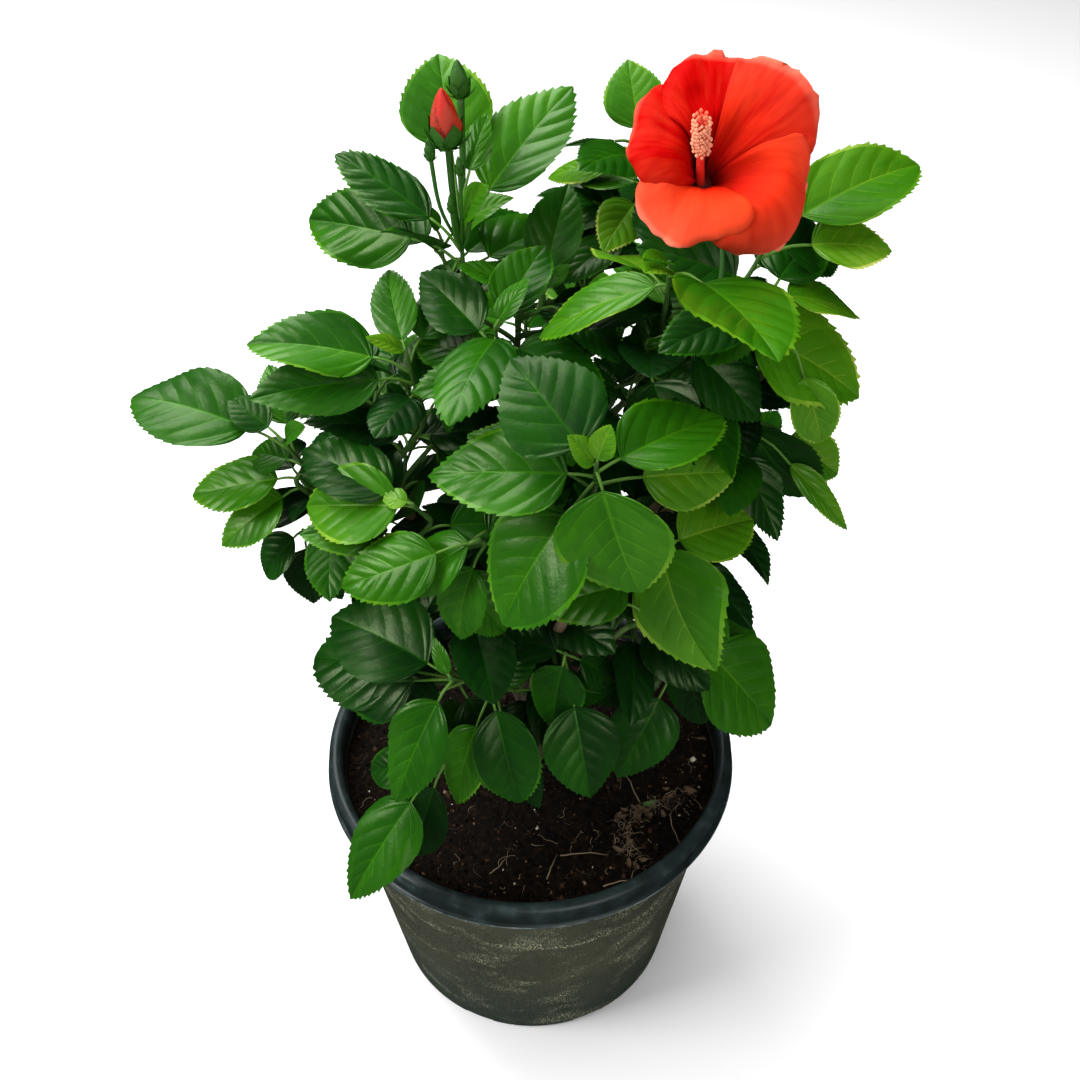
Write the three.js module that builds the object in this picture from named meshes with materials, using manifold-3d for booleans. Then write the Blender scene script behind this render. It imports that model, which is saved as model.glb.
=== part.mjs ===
// Potted hibiscus shrub: a round nursery pot, its soil, a short woody trunk that forks low down,
// boughs, the masses of leaves that they carry, and one open flower on its stalk.
// Millimetres, +Z up, origin at the centre of the pot's flat underside, -Y towards the front of the plant.
import * as THREE from "three";
import { mergeVertices } from "three/addons/utils/BufferGeometryUtils.js";
import Module from "manifold-3d";

const wasm = await Module();
wasm.setup();

// ---- Driving dimensions ----
const POT_HEIGHT = 238;
const RIM_RADIUS = 160; // outer edge of the band round the rim
const BAND_HEIGHT = 19;
const BODY_TOP_RADIUS = 149; // outside of the wall, level with the foot of the band
const FOOT_RADIUS = 118;
const WALL = 2.5;
const FLOOR = 4; // thickness of the pot's floor
const SOIL_LEVEL = 214;
const POT_SIDES = 32;
const GAP = 0.35; // clearance kept between neighbours that rest on each other

// ---- Shared helpers ----
const point = ([x, y, z]) => new THREE.Vector3(x, y, z);

// A closed geometry as a solid for joining and cutting.
function solidOf(geometry) {
  const bare = geometry.clone();
  bare.deleteAttribute("normal");
  bare.deleteAttribute("uv");
  const merged = mergeVertices(bare, 1e-4);
  const mesh = new wasm.Mesh({
    numProp: 3,
    vertProperties: merged.attributes.position.array,
    triVerts: new Uint32Array(merged.index.array),
  });
  return new wasm.Manifold(mesh);
}

// A solid back as a three.js geometry.
function geometryOf(solid) {
  const { vertProperties, triVerts, numProp } = solid.getMesh();
  const places = new Float32Array((vertProperties.length / numProp) * 3);
  for (let i = 0; i < places.length / 3; i++) {
    places.set(vertProperties.subarray(i * numProp, i * numProp + 3), i * 3);
  }
  const geometry = new THREE.BufferGeometry();
  geometry.setAttribute("position", new THREE.BufferAttribute(places, 3));
  geometry.setIndex(new THREE.BufferAttribute(new Uint32Array(triVerts), 1));
  geometry.computeVertexNormals();
  return geometry;
}

// The largest of the separate bodies that a cut leaves.
function largest(solid) {
  const bodies = solid.decompose();
  return bodies.reduce((best, body) => (body.volume() > best.volume() ? body : best));
}

// Cuts each of the given solids away where it reaches in, and keeps the largest body.
function clearOf(solid, others) {
  const cut = others.reduce((left, other) => left.subtract(other), solid);
  return largest(cut);
}

const plant = new THREE.Group();

function addNode(name, solid, material) {
  const mesh = new THREE.Mesh(geometryOf(solid), material);
  mesh.name = name;
  plant.add(mesh);
}

// ---- Pot: thin moulded plastic, with a band turned down outside the wall all round the rim ----
const potPlastic = new THREE.MeshStandardMaterial({ color: "#343a36", roughness: 0.5, metalness: 0 });
const BAND_FOOT = POT_HEIGHT - BAND_HEIGHT;
const BAND_CORE = 5; // depth of solid plastic at the top of the band, where wall and band join
const LIP_WIDTH = 5; // flat top of the lip
const LIP_EASE = 4; // how far the lip is rounded down and out to the band's face
const CENTRE_PAD_RADIUS = 40; // the flat pad in the middle of the underside
const FOOT_RING_WIDTH = 10;
const FOOT_EASE = 2; // slope at the edges of the pad and of the foot ring
const RECESS = 3; // how far the underside is hollowed between the pad and the foot ring
const NOTCHES = 8; // drainage notches round the foot
const NOTCH = { width: 26, depth: 30, height: 4 };

// Outside radius of the wall at a height.
function wallRadius(z) {
  return THREE.MathUtils.lerp(FOOT_RADIUS, BODY_TOP_RADIUS, z / BAND_FOOT);
}

function potProfile() {
  const ringInside = FOOT_RADIUS - FOOT_EASE - FOOT_RING_WIDTH;
  const lipOutside = RIM_RADIUS - LIP_EASE;
  const floorTop = RECESS + FLOOR;
  return [
    [0, 0],
    [CENTRE_PAD_RADIUS, 0],
    [CENTRE_PAD_RADIUS + FOOT_EASE, RECESS],
    [ringInside - FOOT_EASE, RECESS],
    [ringInside, 0],
    [FOOT_RADIUS - FOOT_EASE, 0],
    [wallRadius(FOOT_EASE), FOOT_EASE],
    [BODY_TOP_RADIUS, BAND_FOOT],
    [BODY_TOP_RADIUS, POT_HEIGHT - BAND_CORE],
    [RIM_RADIUS - WALL, POT_HEIGHT - BAND_CORE],
    [RIM_RADIUS - WALL, BAND_FOOT],
    [RIM_RADIUS, BAND_FOOT],
    [RIM_RADIUS, POT_HEIGHT - LIP_EASE],
    [lipOutside, POT_HEIGHT],
    [lipOutside - LIP_WIDTH, POT_HEIGHT],
    [BODY_TOP_RADIUS - WALL, POT_HEIGHT - BAND_CORE],
    [BODY_TOP_RADIUS - WALL, BAND_FOOT],
    [wallRadius(floorTop) - WALL, floorTop],
    [0, floorTop],
  ].map(([r, z]) => new THREE.Vector2(r, z));
}

function makePot() {
  const lathe = new THREE.LatheGeometry(potProfile(), POT_SIDES);
  let pot = solidOf(lathe.rotateX(Math.PI / 2));
  for (let i = 0; i < NOTCHES; i++) {
    const notch = new THREE.BoxGeometry(NOTCH.width, NOTCH.depth, 2 * NOTCH.height);
    notch.translate(0, FOOT_RADIUS, 0).rotateZ(((i + 0.5) * 2 * Math.PI) / NOTCHES);
    pot = pot.subtract(solidOf(notch));
  }
  return pot;
}

addNode("pot", makePot(), potPlastic);

// ---- Soil: dark potting soil that fills the pot to a little under the rim ----
const pottingSoil = new THREE.MeshStandardMaterial({ color: "#1d1610", roughness: 1, metalness: 0 });
const SOIL_BUMPS = 3; // how far the surface rises and falls
const BUMP_SCALE = 21;
const LEVEL_RADIUS = 34; // the soil is level round the trunk's foot
const BUMPY_RINGS = [100, 65]; // the rings of corners that rise and fall

// Smooth unevenness from -1 to 1, from the place alone.
function uneven(x, y) {
  const a = Math.sin(x / BUMP_SCALE);
  const b = Math.sin(y / BUMP_SCALE + 2 + Math.sin(x / BUMP_SCALE));
  const c = Math.sin((x - y) / BUMP_SCALE + 4);
  return (a + b + c) / 3;
}

function makeSoil() {
  const floor = RECESS + FLOOR + GAP;
  const profile = [
    [0, floor],
    [wallRadius(floor) - WALL - GAP, floor],
    [wallRadius(SOIL_LEVEL) - WALL - GAP, SOIL_LEVEL],
    ...BUMPY_RINGS.map((r) => [r, SOIL_LEVEL]),
    [LEVEL_RADIUS, SOIL_LEVEL],
    [0, SOIL_LEVEL],
  ].map(([r, z]) => new THREE.Vector2(r, z));
  const lathe = new THREE.LatheGeometry(profile, POT_SIDES).rotateX(Math.PI / 2);
  const places = lathe.attributes.position;
  for (let i = 0; i < places.count; i++) {
    const [x, y, z] = [places.getX(i), places.getY(i), places.getZ(i)];
    const bumpy = BUMPY_RINGS.includes(Math.round(Math.hypot(x, y)));
    if (bumpy) places.setZ(i, z + SOIL_BUMPS * uneven(x, y));
  }
  return solidOf(lathe);
}

addNode("soil", makeSoil(), pottingSoil);

// ---- Limbs: the trunk, the stems that it forks into, and their boughs ----
const bark = new THREE.MeshStandardMaterial({ color: "#5a4a38", roughness: 0.85, metalness: 0 });
const LIMB_SIDES = 6;
const LIMB_STEPS = 5;
const TRUNK_STEPS = 8;

// A tapering limb along a curve, thickened all round by extra: a cylinder whose rings are moved onto the curve.
function taperedLimb({ curve, radiusAt, steps }, extra = 0) {
  const rod = new THREE.CylinderGeometry(1, 1, 1, LIMB_SIDES, steps, false);
  const frames = curve.computeFrenetFrames(steps, false);
  const places = rod.attributes.position;
  for (let i = 0; i < places.count; i++) {
    const ring = Math.round((places.getY(i) + 0.5) * steps);
    const along = ring / steps;
    const radius = radiusAt(along) + extra;
    const beyond = ring === 0 ? -extra : ring === steps ? extra : 0;
    const centre = curve.getPointAt(along).addScaledVector(frames.tangents[ring], beyond);
    const out = frames.normals[ring].clone().multiplyScalar(places.getX(i) * radius);
    out.addScaledVector(frames.binormals[ring], -places.getZ(i) * radius);
    places.setXYZ(i, ...centre.add(out).toArray());
  }
  return solidOf(rod);
}

// The trunk: it leans a little back as it rises, and flares out where it meets the soil.
const TRUNK_FOOT_RADIUS = 9.5;
const TRUNK_TIP_RADIUS = 5.5;
const FLARE = 5;
const FLARE_FALL = 14; // how fast the flare dies away with height
const TRUNK_ROUTE = [
  [0, 0, SOIL_LEVEL - 8],
  [1, 0, SOIL_LEVEL + 40],
  [-4, 4, SOIL_LEVEL + 105],
  [-10, 12, SOIL_LEVEL + 190],
];

function trunkRadius(along) {
  const taper = THREE.MathUtils.lerp(TRUNK_FOOT_RADIUS, TRUNK_TIP_RADIUS, along);
  return taper + FLARE * Math.exp(-along * FLARE_FALL);
}

// Four stems leave the trunk, and boughs leave the trunk or a stem. Each entry says what carries the limb (on), how
// far along that one (at, from 0 to 1), where the limb ends, its radius at each end, and the mass of leaves that it
// ends in, if it ends in one.
const LIMBS = {
  stem_left: { on: "trunk", at: 0.3, end: [-62, 4, 432], radii: [6, 4] },
  stem_right: { on: "trunk", at: 0.38, end: [74, -4, 452], radii: [6.5, 4.2] },
  stem_front: { on: "trunk", at: 0.24, end: [18, -66, 420], radii: [6, 4] },
  stem_back: { on: "trunk", at: 0.46, end: [6, 74, 440], radii: [6, 4] },
  bough_bud_top: { on: "trunk", at: 0.985, end: [-43, 30, 700], radii: [4.4, 2.6], into: "leaves_bud_top" },
  bough_centre: { on: "trunk", at: 0.8, end: [8, -30, 612], radii: [3.6, 2.4], into: "leaves_centre" },
  bough_centre_back: { on: "trunk", at: 0.9, end: [-2, 44, 612], radii: [3.6, 2.4], into: "leaves_centre_back" },
  bough_back_top: { on: "stem_back", at: 0.96, end: [52, 82, 672], radii: [3.8, 2.4], into: "leaves_back_top" },
  bough_flower: { on: "stem_right", at: 0.97, end: [97, -30, 718], radii: [3.9, 2.2], into: "flower" },
  bough_right_top: { on: "stem_right", at: 0.84, end: [170, 22, 634], radii: [3.6, 2.4], into: "leaves_right_top" },
  bough_left: { on: "stem_left", at: 0.96, end: [-105, 0, 598], radii: [3.7, 2.4], into: "leaves_left" },
  bough_far_left: { on: "stem_left", at: 0.74, end: [-190, 10, 530], radii: [3.6, 2.3], into: "leaves_far_left" },
  bough_far_left_low: { on: "stem_left", at: 0.5, end: [-160, 12, 436], radii: [3.2, 2.2], into: "leaves_far_left_low" },
  bough_front: { on: "stem_front", at: 0.96, end: [33, -122, 588], radii: [3.8, 2.5], into: "leaves_front" },
  bough_right: { on: "stem_right", at: 0.66, end: [150, -24, 522], radii: [3.5, 2.3], into: "leaves_right" },
  bough_front_left: { on: "stem_left", at: 0.62, end: [-84, -80, 518], radii: [3.4, 2.2], into: "leaves_front_left" },
  bough_front_right: { on: "stem_front", at: 0.7, end: [84, -100, 482], radii: [3.3, 2.2], into: "leaves_front_right" },
  bough_back_left: { on: "stem_back", at: 0.58, end: [-94, 102, 474], radii: [3.6, 2.3], into: "leaves_back_left" },
  bough_back: { on: "stem_back", at: 0.82, end: [2, 140, 508], radii: [3.6, 2.3], into: "leaves_back" },
  bough_back_right: { on: "stem_back", at: 0.7, end: [100, 122, 512], radii: [3.6, 2.3], into: "leaves_back_right" },
  bough_low_left: { on: "stem_left", at: 0.26, end: [-92, -76, 376], radii: [3.2, 2.1], into: "leaves_low_left" },
  bough_over_rim: { on: "trunk", at: 0.16, end: [-88, -124, 286], radii: [3, 2], into: "leaves_over_rim" },
  bough_low_front: { on: "stem_front", at: 0.34, end: [26, -86, 380], radii: [3.1, 2.1], into: "leaves_low_front" },
  bough_low_right: { on: "stem_right", at: 0.3, end: [116, -50, 378], radii: [3.3, 2.1], into: "leaves_low_right" },
  bough_low_back: { on: "stem_back", at: 0.26, end: [-4, 114, 356], radii: [3.3, 2.1], into: "leaves_low_back" },
};

// A limb rises at once and then bends out to its end, like a shoot that seeks the light.
const BEND_SPAN = 0.22; // how far a limb first keeps the heading of what carries it
const BEND_OUT = 0.34; // how far out its bend lies, as a share of its whole reach
const BEND_RISE = 0.42;

function limbCurve(carrier, { at, end }) {
  const start = carrier.getPointAt(at);
  const finish = point(end);
  const heading = carrier.getTangentAt(at);
  const out = finish.clone().sub(start).setZ(0).multiplyScalar(BEND_OUT);
  const bend = start.clone().addScaledVector(heading, start.distanceTo(finish) * BEND_SPAN).add(out);
  bend.z = THREE.MathUtils.lerp(start.z, finish.z, BEND_RISE);
  return new THREE.CatmullRomCurve3([start, bend, finish]);
}

const routes = {
  trunk: { curve: new THREE.CatmullRomCurve3(TRUNK_ROUTE.map(point)), radiusAt: trunkRadius, steps: TRUNK_STEPS },
};
for (const [name, limb] of Object.entries(LIMBS)) {
  routes[name] = {
    curve: limbCurve(routes[limb.on].curve, limb),
    radiusAt: (along) => THREE.MathUtils.lerp(limb.radii[0], limb.radii[1], along),
    steps: LIMB_STEPS,
  };
}

// ---- Masses of leaves: each one an uneven, lobed solid round the shoots at a bough's end ----
const leafGreen = new THREE.MeshStandardMaterial({ color: "#2f7a1e", roughness: 0.6, metalness: 0 });

// Centre, half sizes, and the compass turn of the first lobe in degrees. The lobes follow the leaves, which stand
// two fifths of a turn apart round their shoot.
const MASSES = {
  leaves_bud_top: { centre: [-43, 30, 700], half: [80, 60, 88], turn: 186 },
  leaves_flower: { centre: [104, -34, 648], half: [98, 72, 50], turn: 20 },
  leaves_right_top: { centre: [166, 24, 640], half: [56, 56, 104], turn: 216 },
  leaves_back_top: { centre: [60, 82, 674], half: [46, 50, 72], turn: 90 },
  leaves_left: { centre: [-104, 0, 594], half: [66, 58, 50], turn: 180 },
  leaves_far_left: { centre: [-186, 8, 532], half: [62, 56, 66], turn: 36 },
  leaves_far_left_low: { centre: [-158, 12, 436], half: [52, 50, 66], turn: 200 },
  leaves_centre: { centre: [8, -34, 612], half: [82, 52, 52], turn: 30 },
  leaves_centre_back: { centre: [-2, 44, 614], half: [74, 52, 54], turn: 70 },
  leaves_front: { centre: [33, -124, 586], half: [92, 62, 56], turn: 252 },
  leaves_right: { centre: [146, -24, 524], half: [64, 60, 58], turn: 0 },
  leaves_front_left: { centre: [-84, -82, 516], half: [68, 58, 60], turn: 200 },
  leaves_front_right: { centre: [86, -100, 478], half: [52, 50, 60], turn: 290 },
  leaves_low_left: { centre: [-84, -76, 380], half: [68, 62, 82], turn: 215 },
  leaves_over_rim: { centre: [-92, -126, 284], half: [46, 42, 52], turn: 225 },
  leaves_low_front: { centre: [24, -88, 372], half: [64, 50, 84], turn: 270 },
  leaves_low_right: { centre: [114, -50, 374], half: [58, 58, 88], turn: 330 },
  leaves_back_left: { centre: [-96, 104, 474], half: [84, 68, 82], turn: 120 },
  leaves_back: { centre: [2, 142, 502], half: [74, 60, 72], turn: 100 },
  leaves_back_right: { centre: [102, 124, 510], half: [80, 62, 84], turn: 50 },
  leaves_low_back: { centre: [-4, 114, 350], half: [92, 62, 70], turn: 80 },
};
const LOBES = 7;
const LOBE_TURN = 144;
const LOBE_RISE = 38; // the first lobe points this many degrees down, and the last one as many up
const LOBE_SHARE = 0.26; // how far a lobe stands out, as a share of the radius
const LOBE_WIDTH = 8; // a larger number makes narrower lobes
const MASS_DETAIL = 2;

function lobeDirections(turn) {
  return Array.from({ length: LOBES }, (_, i) => {
    const compass = THREE.MathUtils.degToRad(turn + i * LOBE_TURN);
    const rise = THREE.MathUtils.degToRad(THREE.MathUtils.lerp(-LOBE_RISE, LOBE_RISE, i / (LOBES - 1)));
    return new THREE.Vector3(
      Math.cos(compass) * Math.cos(rise),
      Math.sin(compass) * Math.cos(rise),
      Math.sin(rise),
    );
  });
}

function leafMass({ centre, half, turn }, extra = 0) {
  const lobes = lobeDirections(turn);
  const ball = new THREE.IcosahedronGeometry(1, MASS_DETAIL);
  const places = ball.attributes.position;
  for (let i = 0; i < places.count; i++) {
    const way = new THREE.Vector3().fromBufferAttribute(places, i).normalize();
    const swell = lobes.reduce((sum, lobe) => sum + Math.max(0, way.dot(lobe)) ** LOBE_WIDTH, 0);
    const share = 1 - LOBE_SHARE + LOBE_SHARE * Math.min(swell, 1);
    const spot = new THREE.Vector3(...half).multiply(way).multiplyScalar(share);
    spot.addScaledVector(way, extra);
    places.setXYZ(i, ...spot.add(point(centre)).toArray());
  }
  return solidOf(ball);
}

// ---- Flower: a half-open funnel of five broad petals, turned up and to the front ----
const petalRed = new THREE.MeshStandardMaterial({ color: "#d8200c", roughness: 0.6, metalness: 0 });
const FLOWER_FOOT = [97, -30, 710]; // where the petals leave the calyx
const FLOWER_AXIS = new THREE.Vector3(0.14, -0.44, 0.89).normalize();
const PETALS = 5;
const PETAL_REACH = 59; // from the flower's axis to the petals' edge, front and back
const SIDE_REACH = 0.86; // the reach to each side, as a share of that
const THROAT_RADIUS = 6;
const FLOWER_DEPTH = 50; // from the calyx to the petals' edge, along the axis
const FLARE_OUT = 1.2; // above 1, the funnel curves outwards as it opens
const SCALLOP = 0.05; // how far each petal's edge bulges, as a share of the radius
const PETAL_THICK = 5;
const FLOWER_SIDES = 25;
const FLOWER_STEPS = 4;

// The funnel's radius by height, as a share of its depth.
function funnelRadius(share) {
  return THROAT_RADIUS + (PETAL_REACH - THROAT_RADIUS) * share ** FLARE_OUT;
}

const towardsFlower = new THREE.Quaternion().setFromUnitVectors(new THREE.Vector3(0, 0, 1), FLOWER_AXIS);

function makeFlower() {
  const outside = [];
  const inside = [];
  for (let i = 0; i <= FLOWER_STEPS; i++) {
    const share = i / FLOWER_STEPS;
    outside.push([funnelRadius(share), share * FLOWER_DEPTH]);
    if (i > 0) inside.unshift([funnelRadius(share) - PETAL_THICK, share * FLOWER_DEPTH + PETAL_THICK / 2]);
  }
  const profile = [[0, 0], ...outside, ...inside, [0, FLOWER_DEPTH / FLOWER_STEPS]];
  const funnel = new THREE.LatheGeometry(profile.map(([r, z]) => new THREE.Vector2(r, z)), FLOWER_SIDES);
  funnel.rotateX(Math.PI / 2);
  const places = funnel.attributes.position;
  for (let i = 0; i < places.count; i++) {
    const [x, y, z] = [places.getX(i), places.getY(i), places.getZ(i)];
    const open = THREE.MathUtils.clamp(z / FLOWER_DEPTH, 0, 1);
    const bulge = 1 + SCALLOP * open * Math.cos(PETALS * Math.atan2(y, x));
    places.setXYZ(i, x * bulge * SIDE_REACH, y * bulge, z);
  }
  return solidOf(funnel.applyQuaternion(towardsFlower).translate(...FLOWER_FOOT));
}

// The room that the flower takes, funnel and hollow together, with a clearance all round.
function flowerRoom(clearance) {
  const room = new THREE.CylinderGeometry(
    PETAL_REACH + clearance,
    THROAT_RADIUS + clearance,
    FLOWER_DEPTH + 2 * clearance,
    FLOWER_SIDES,
  );
  room.rotateX(Math.PI / 2).translate(0, 0, FLOWER_DEPTH / 2);
  return solidOf(room.applyQuaternion(towardsFlower).translate(...FLOWER_FOOT));
}

// ---- Assembly: every piece is cut back from the ones that it grows out of or lies against ----
const MASS_GAP = 1.4 * GAP; // the masses' own faces lean, so their clearance is a little more
const PETAL_CLEARANCE = 3;
const flower = makeFlower();
const groundBlock = solidOf(new THREE.BoxGeometry(80, 80, 40).translate(0, 0, SOIL_LEVEL + GAP - 20));
const limbs = { trunk: taperedLimb(routes.trunk).subtract(groundBlock) };

for (const [name, { into }] of Object.entries(LIMBS)) {
  const carriers = Object.keys(limbs).map((other) => taperedLimb(routes[other], GAP));
  const ends = into in MASSES ? [leafMass(MASSES[into], MASS_GAP)] : [];
  if (into === "flower") ends.push(flowerRoom(GAP));
  limbs[name] = clearOf(taperedLimb(routes[name]), [...carriers, ...ends]);
}

const masses = {};
for (const [name, mass] of Object.entries(MASSES)) {
  const passing = Object.keys(limbs).filter((limb) => LIMBS[limb]?.into !== name);
  const rooms = passing.map((limb) => taperedLimb(routes[limb], GAP));
  const earlier = Object.keys(masses).map((other) => leafMass(MASSES[other], MASS_GAP));
  masses[name] = clearOf(leafMass(mass), [...rooms, ...earlier, flowerRoom(PETAL_CLEARANCE)]);
}

for (const [name, solid] of Object.entries(limbs)) addNode(name, solid, bark);
for (const [name, solid] of Object.entries(masses)) addNode(name, solid, leafGreen);
addNode("flower", flower, petalRed);

export default plant;
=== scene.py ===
"""The looks of a potted hibiscus shrub, built round its CAD frame. Metres, +Z up, front towards -Y."""
import math

import bpy
import numpy as np
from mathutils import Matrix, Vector, noise


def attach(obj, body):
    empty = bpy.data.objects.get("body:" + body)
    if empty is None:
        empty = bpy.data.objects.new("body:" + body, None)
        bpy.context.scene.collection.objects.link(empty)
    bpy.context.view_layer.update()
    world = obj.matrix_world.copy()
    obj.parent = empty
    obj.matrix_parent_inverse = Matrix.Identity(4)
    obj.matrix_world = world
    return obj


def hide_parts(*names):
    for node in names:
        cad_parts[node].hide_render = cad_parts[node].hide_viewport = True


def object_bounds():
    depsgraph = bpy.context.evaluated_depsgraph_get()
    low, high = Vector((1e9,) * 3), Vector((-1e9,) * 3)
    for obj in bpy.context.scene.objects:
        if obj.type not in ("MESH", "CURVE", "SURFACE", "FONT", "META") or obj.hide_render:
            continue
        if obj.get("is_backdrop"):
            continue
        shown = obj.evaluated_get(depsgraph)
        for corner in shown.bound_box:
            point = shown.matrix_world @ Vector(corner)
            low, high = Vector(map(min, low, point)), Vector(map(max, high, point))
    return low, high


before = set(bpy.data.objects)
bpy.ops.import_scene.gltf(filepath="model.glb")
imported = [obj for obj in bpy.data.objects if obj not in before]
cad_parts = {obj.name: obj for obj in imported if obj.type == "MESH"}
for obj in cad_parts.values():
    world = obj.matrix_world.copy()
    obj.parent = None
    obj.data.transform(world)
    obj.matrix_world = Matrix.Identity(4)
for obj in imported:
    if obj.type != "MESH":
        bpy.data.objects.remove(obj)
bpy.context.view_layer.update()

# ---- Pot ----
# A 12 inch nursery pot of injection-moulded polypropylene. A band is turned down outside the wall all
# round the rim, and the pot is lifted by it. Shallow notches in the foot let water drain away.
MM = 0.001
POT_HEIGHT = 238 * MM
BAND_HEIGHT = 19 * MM
RIM_RADIUS = 160 * MM
BODY_TOP_RADIUS = 149 * MM
FOOT_RADIUS = 118 * MM
WALL = 2.5 * MM
POT_SIDES = 144


def linear(code):
    """An sRGB hex colour as the linear RGBA that shaders take."""
    parts = [int(code[i:i + 2], 16) / 255 for i in (1, 3, 5)]
    return [p / 12.92 if p <= 0.04045 else ((p + 0.055) / 1.055) ** 2.4 for p in parts] + [1]


def new_material(name, colour, roughness, **shader):
    """A material with a Principled shader, and that shader's node."""
    material = bpy.data.materials.new(name)
    material.use_nodes = True
    surface = material.node_tree.nodes["Principled BSDF"]
    surface.inputs["Base Color"].default_value = linear(colour)
    surface.inputs["Roughness"].default_value = roughness
    for socket, value in shader.items():
        surface.inputs[socket.replace("_", " ")].default_value = value
    return material, surface


def add_node(material, kind, links=(), stops=(), **settings):
    """One node with its (input, source) links, (place, colour) stops, and properties or input values."""
    node = material.node_tree.nodes.new(kind)
    for key, value in settings.items():
        if hasattr(node, key):
            setattr(node, key, value)
        else:
            node.inputs[key.replace("_", " ")].default_value = value
    for name, source in links:
        material.node_tree.links.new(source, node.inputs[name])
    for _ in stops[2:]:
        node.color_ramp.elements.new(0.5)
    for i, (place, colour) in enumerate(stops):
        node.color_ramp.elements[i].position = place
        node.color_ramp.elements[i].color = linear(colour)
    return node


def link(material, source, target):
    material.node_tree.links.new(source, target)


def cells(size):
    """The scale at which a pattern's cells have this size."""
    return 1 / size


def settle(piece, slot, *nodes):
    """The body that the piece rides on, its material slot, which is not used, and the CAD nodes that it
    stands for.
    """
    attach(piece, "root")
    if nodes:
        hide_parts(*nodes)


def turn_on(profile, radius, height):
    """Extrudes the selected ring on through the profile's (radius, height) points."""
    for next_radius, next_height in profile:
        step = (0, 0, next_height - height)
        bpy.ops.mesh.extrude_region_move(TRANSFORM_OT_translate={"value": step})
        share = next_radius / radius
        bpy.ops.transform.resize(value=(share, share, 1), center_override=(0, 0, next_height))
        radius, height = next_radius, next_height


def wall_radius(height):
    return FOOT_RADIUS + (BODY_TOP_RADIUS - FOOT_RADIUS) * height / (POT_HEIGHT - BAND_HEIGHT)


def arc(centre_radius, centre_height, size, start, end, steps):
    """(radius, height) points of a rounding, from one angle to another in degrees."""
    turns = [math.radians(start + (end - start) * i / steps) for i in range(steps + 1)]
    return [(centre_radius + size * math.cos(t), centre_height + size * math.sin(t)) for t in turns]


# The profile goes from the middle of the underside out to the foot, up the wall, round the band and its
# rounded lip, and down the inside to the middle of the floor.
band_foot = POT_HEIGHT - BAND_HEIGHT
band_roof = POT_HEIGHT - 8 * MM
LIP = 5.5 * MM
BEAD = 1.6 * MM
BAND_OUTSIDE = RIM_RADIUS - 1.8 * MM
UNDERSIDE_RADIUS = 40 * MM
UNDERSIDE_RISE = 3 * MM
FLOOR_HEIGHT = 7 * MM
WALL_STEPS = 12
pot_profile = [(UNDERSIDE_RADIUS + 2 * MM, UNDERSIDE_RISE), (106 * MM, UNDERSIDE_RISE), (107 * MM, 0)]
pot_profile += [(FOOT_RADIUS - 2 * MM, 0), (wall_radius(2 * MM), 2 * MM)]
for i in range(1, WALL_STEPS + 1):
    pot_profile.append((wall_radius(band_foot * i / WALL_STEPS), band_foot * i / WALL_STEPS))
pot_profile += [(BODY_TOP_RADIUS + 0.5 * MM, band_roof), (RIM_RADIUS - WALL - 1 * MM, band_roof)]
pot_profile.append((RIM_RADIUS - WALL - 0.6 * MM, band_foot))
pot_profile += arc(RIM_RADIUS - BEAD, band_foot + 1.5 * MM, BEAD, -120, 60, 6)
pot_profile += [(RIM_RADIUS - 2.2 * MM, band_foot + 3.6 * MM), (BAND_OUTSIDE, POT_HEIGHT - LIP - 1 * MM)]
pot_profile += arc(BAND_OUTSIDE - LIP, POT_HEIGHT - LIP, LIP, 0, 150, 8)
pot_profile.append((BODY_TOP_RADIUS - WALL + 0.4 * MM, POT_HEIGHT - 9 * MM))
pot_profile.append((BODY_TOP_RADIUS - WALL, band_foot))
for height in (200 * MM, 120 * MM, FLOOR_HEIGHT):
    pot_profile.append((wall_radius(height) - WALL, height))
pot_profile += [(60 * MM, FLOOR_HEIGHT), (2 * MM, FLOOR_HEIGHT)]

bpy.ops.object.select_all(action="DESELECT")
bpy.ops.mesh.primitive_circle_add(
    vertices=POT_SIDES, radius=UNDERSIDE_RADIUS, fill_type="TRIFAN", location=(0, 0, 0),
)
pot = bpy.context.object
pot.name = "nursery_pot"
bpy.ops.object.mode_set(mode="EDIT")
bpy.ops.mesh.select_all(action="DESELECT")
bpy.ops.mesh.select_non_manifold()
turn_on(pot_profile, UNDERSIDE_RADIUS, 0)
bpy.ops.mesh.edge_face_add()
bpy.ops.mesh.select_all(action="SELECT")
bpy.ops.mesh.normals_make_consistent(inside=False)
bpy.ops.object.mode_set(mode="OBJECT")

NOTCHES = 8
NOTCH_SIZE = (30 * MM, 24 * MM, 7 * MM)
cutters = []
for i in range(NOTCHES):
    turn = (i + 0.5) * 2 * math.pi / NOTCHES + math.pi / 2
    place = (FOOT_RADIUS * math.cos(turn), FOOT_RADIUS * math.sin(turn), 0)
    bpy.ops.object.select_all(action="DESELECT")
    bpy.ops.mesh.primitive_cube_add(size=1, location=place, rotation=(0, 0, turn), scale=NOTCH_SIZE)
    cutters.append(bpy.context.object)
for cutter in cutters:
    cut = pot.modifiers.new("notch", "BOOLEAN")
    cut.object = cutter
    cut.operation = "DIFFERENCE"
    bpy.ops.object.select_all(action="DESELECT")
    bpy.context.view_layer.objects.active = pot
    bpy.ops.object.modifier_apply(modifier=cut.name)
    bpy.data.objects.remove(cutter)

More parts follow.
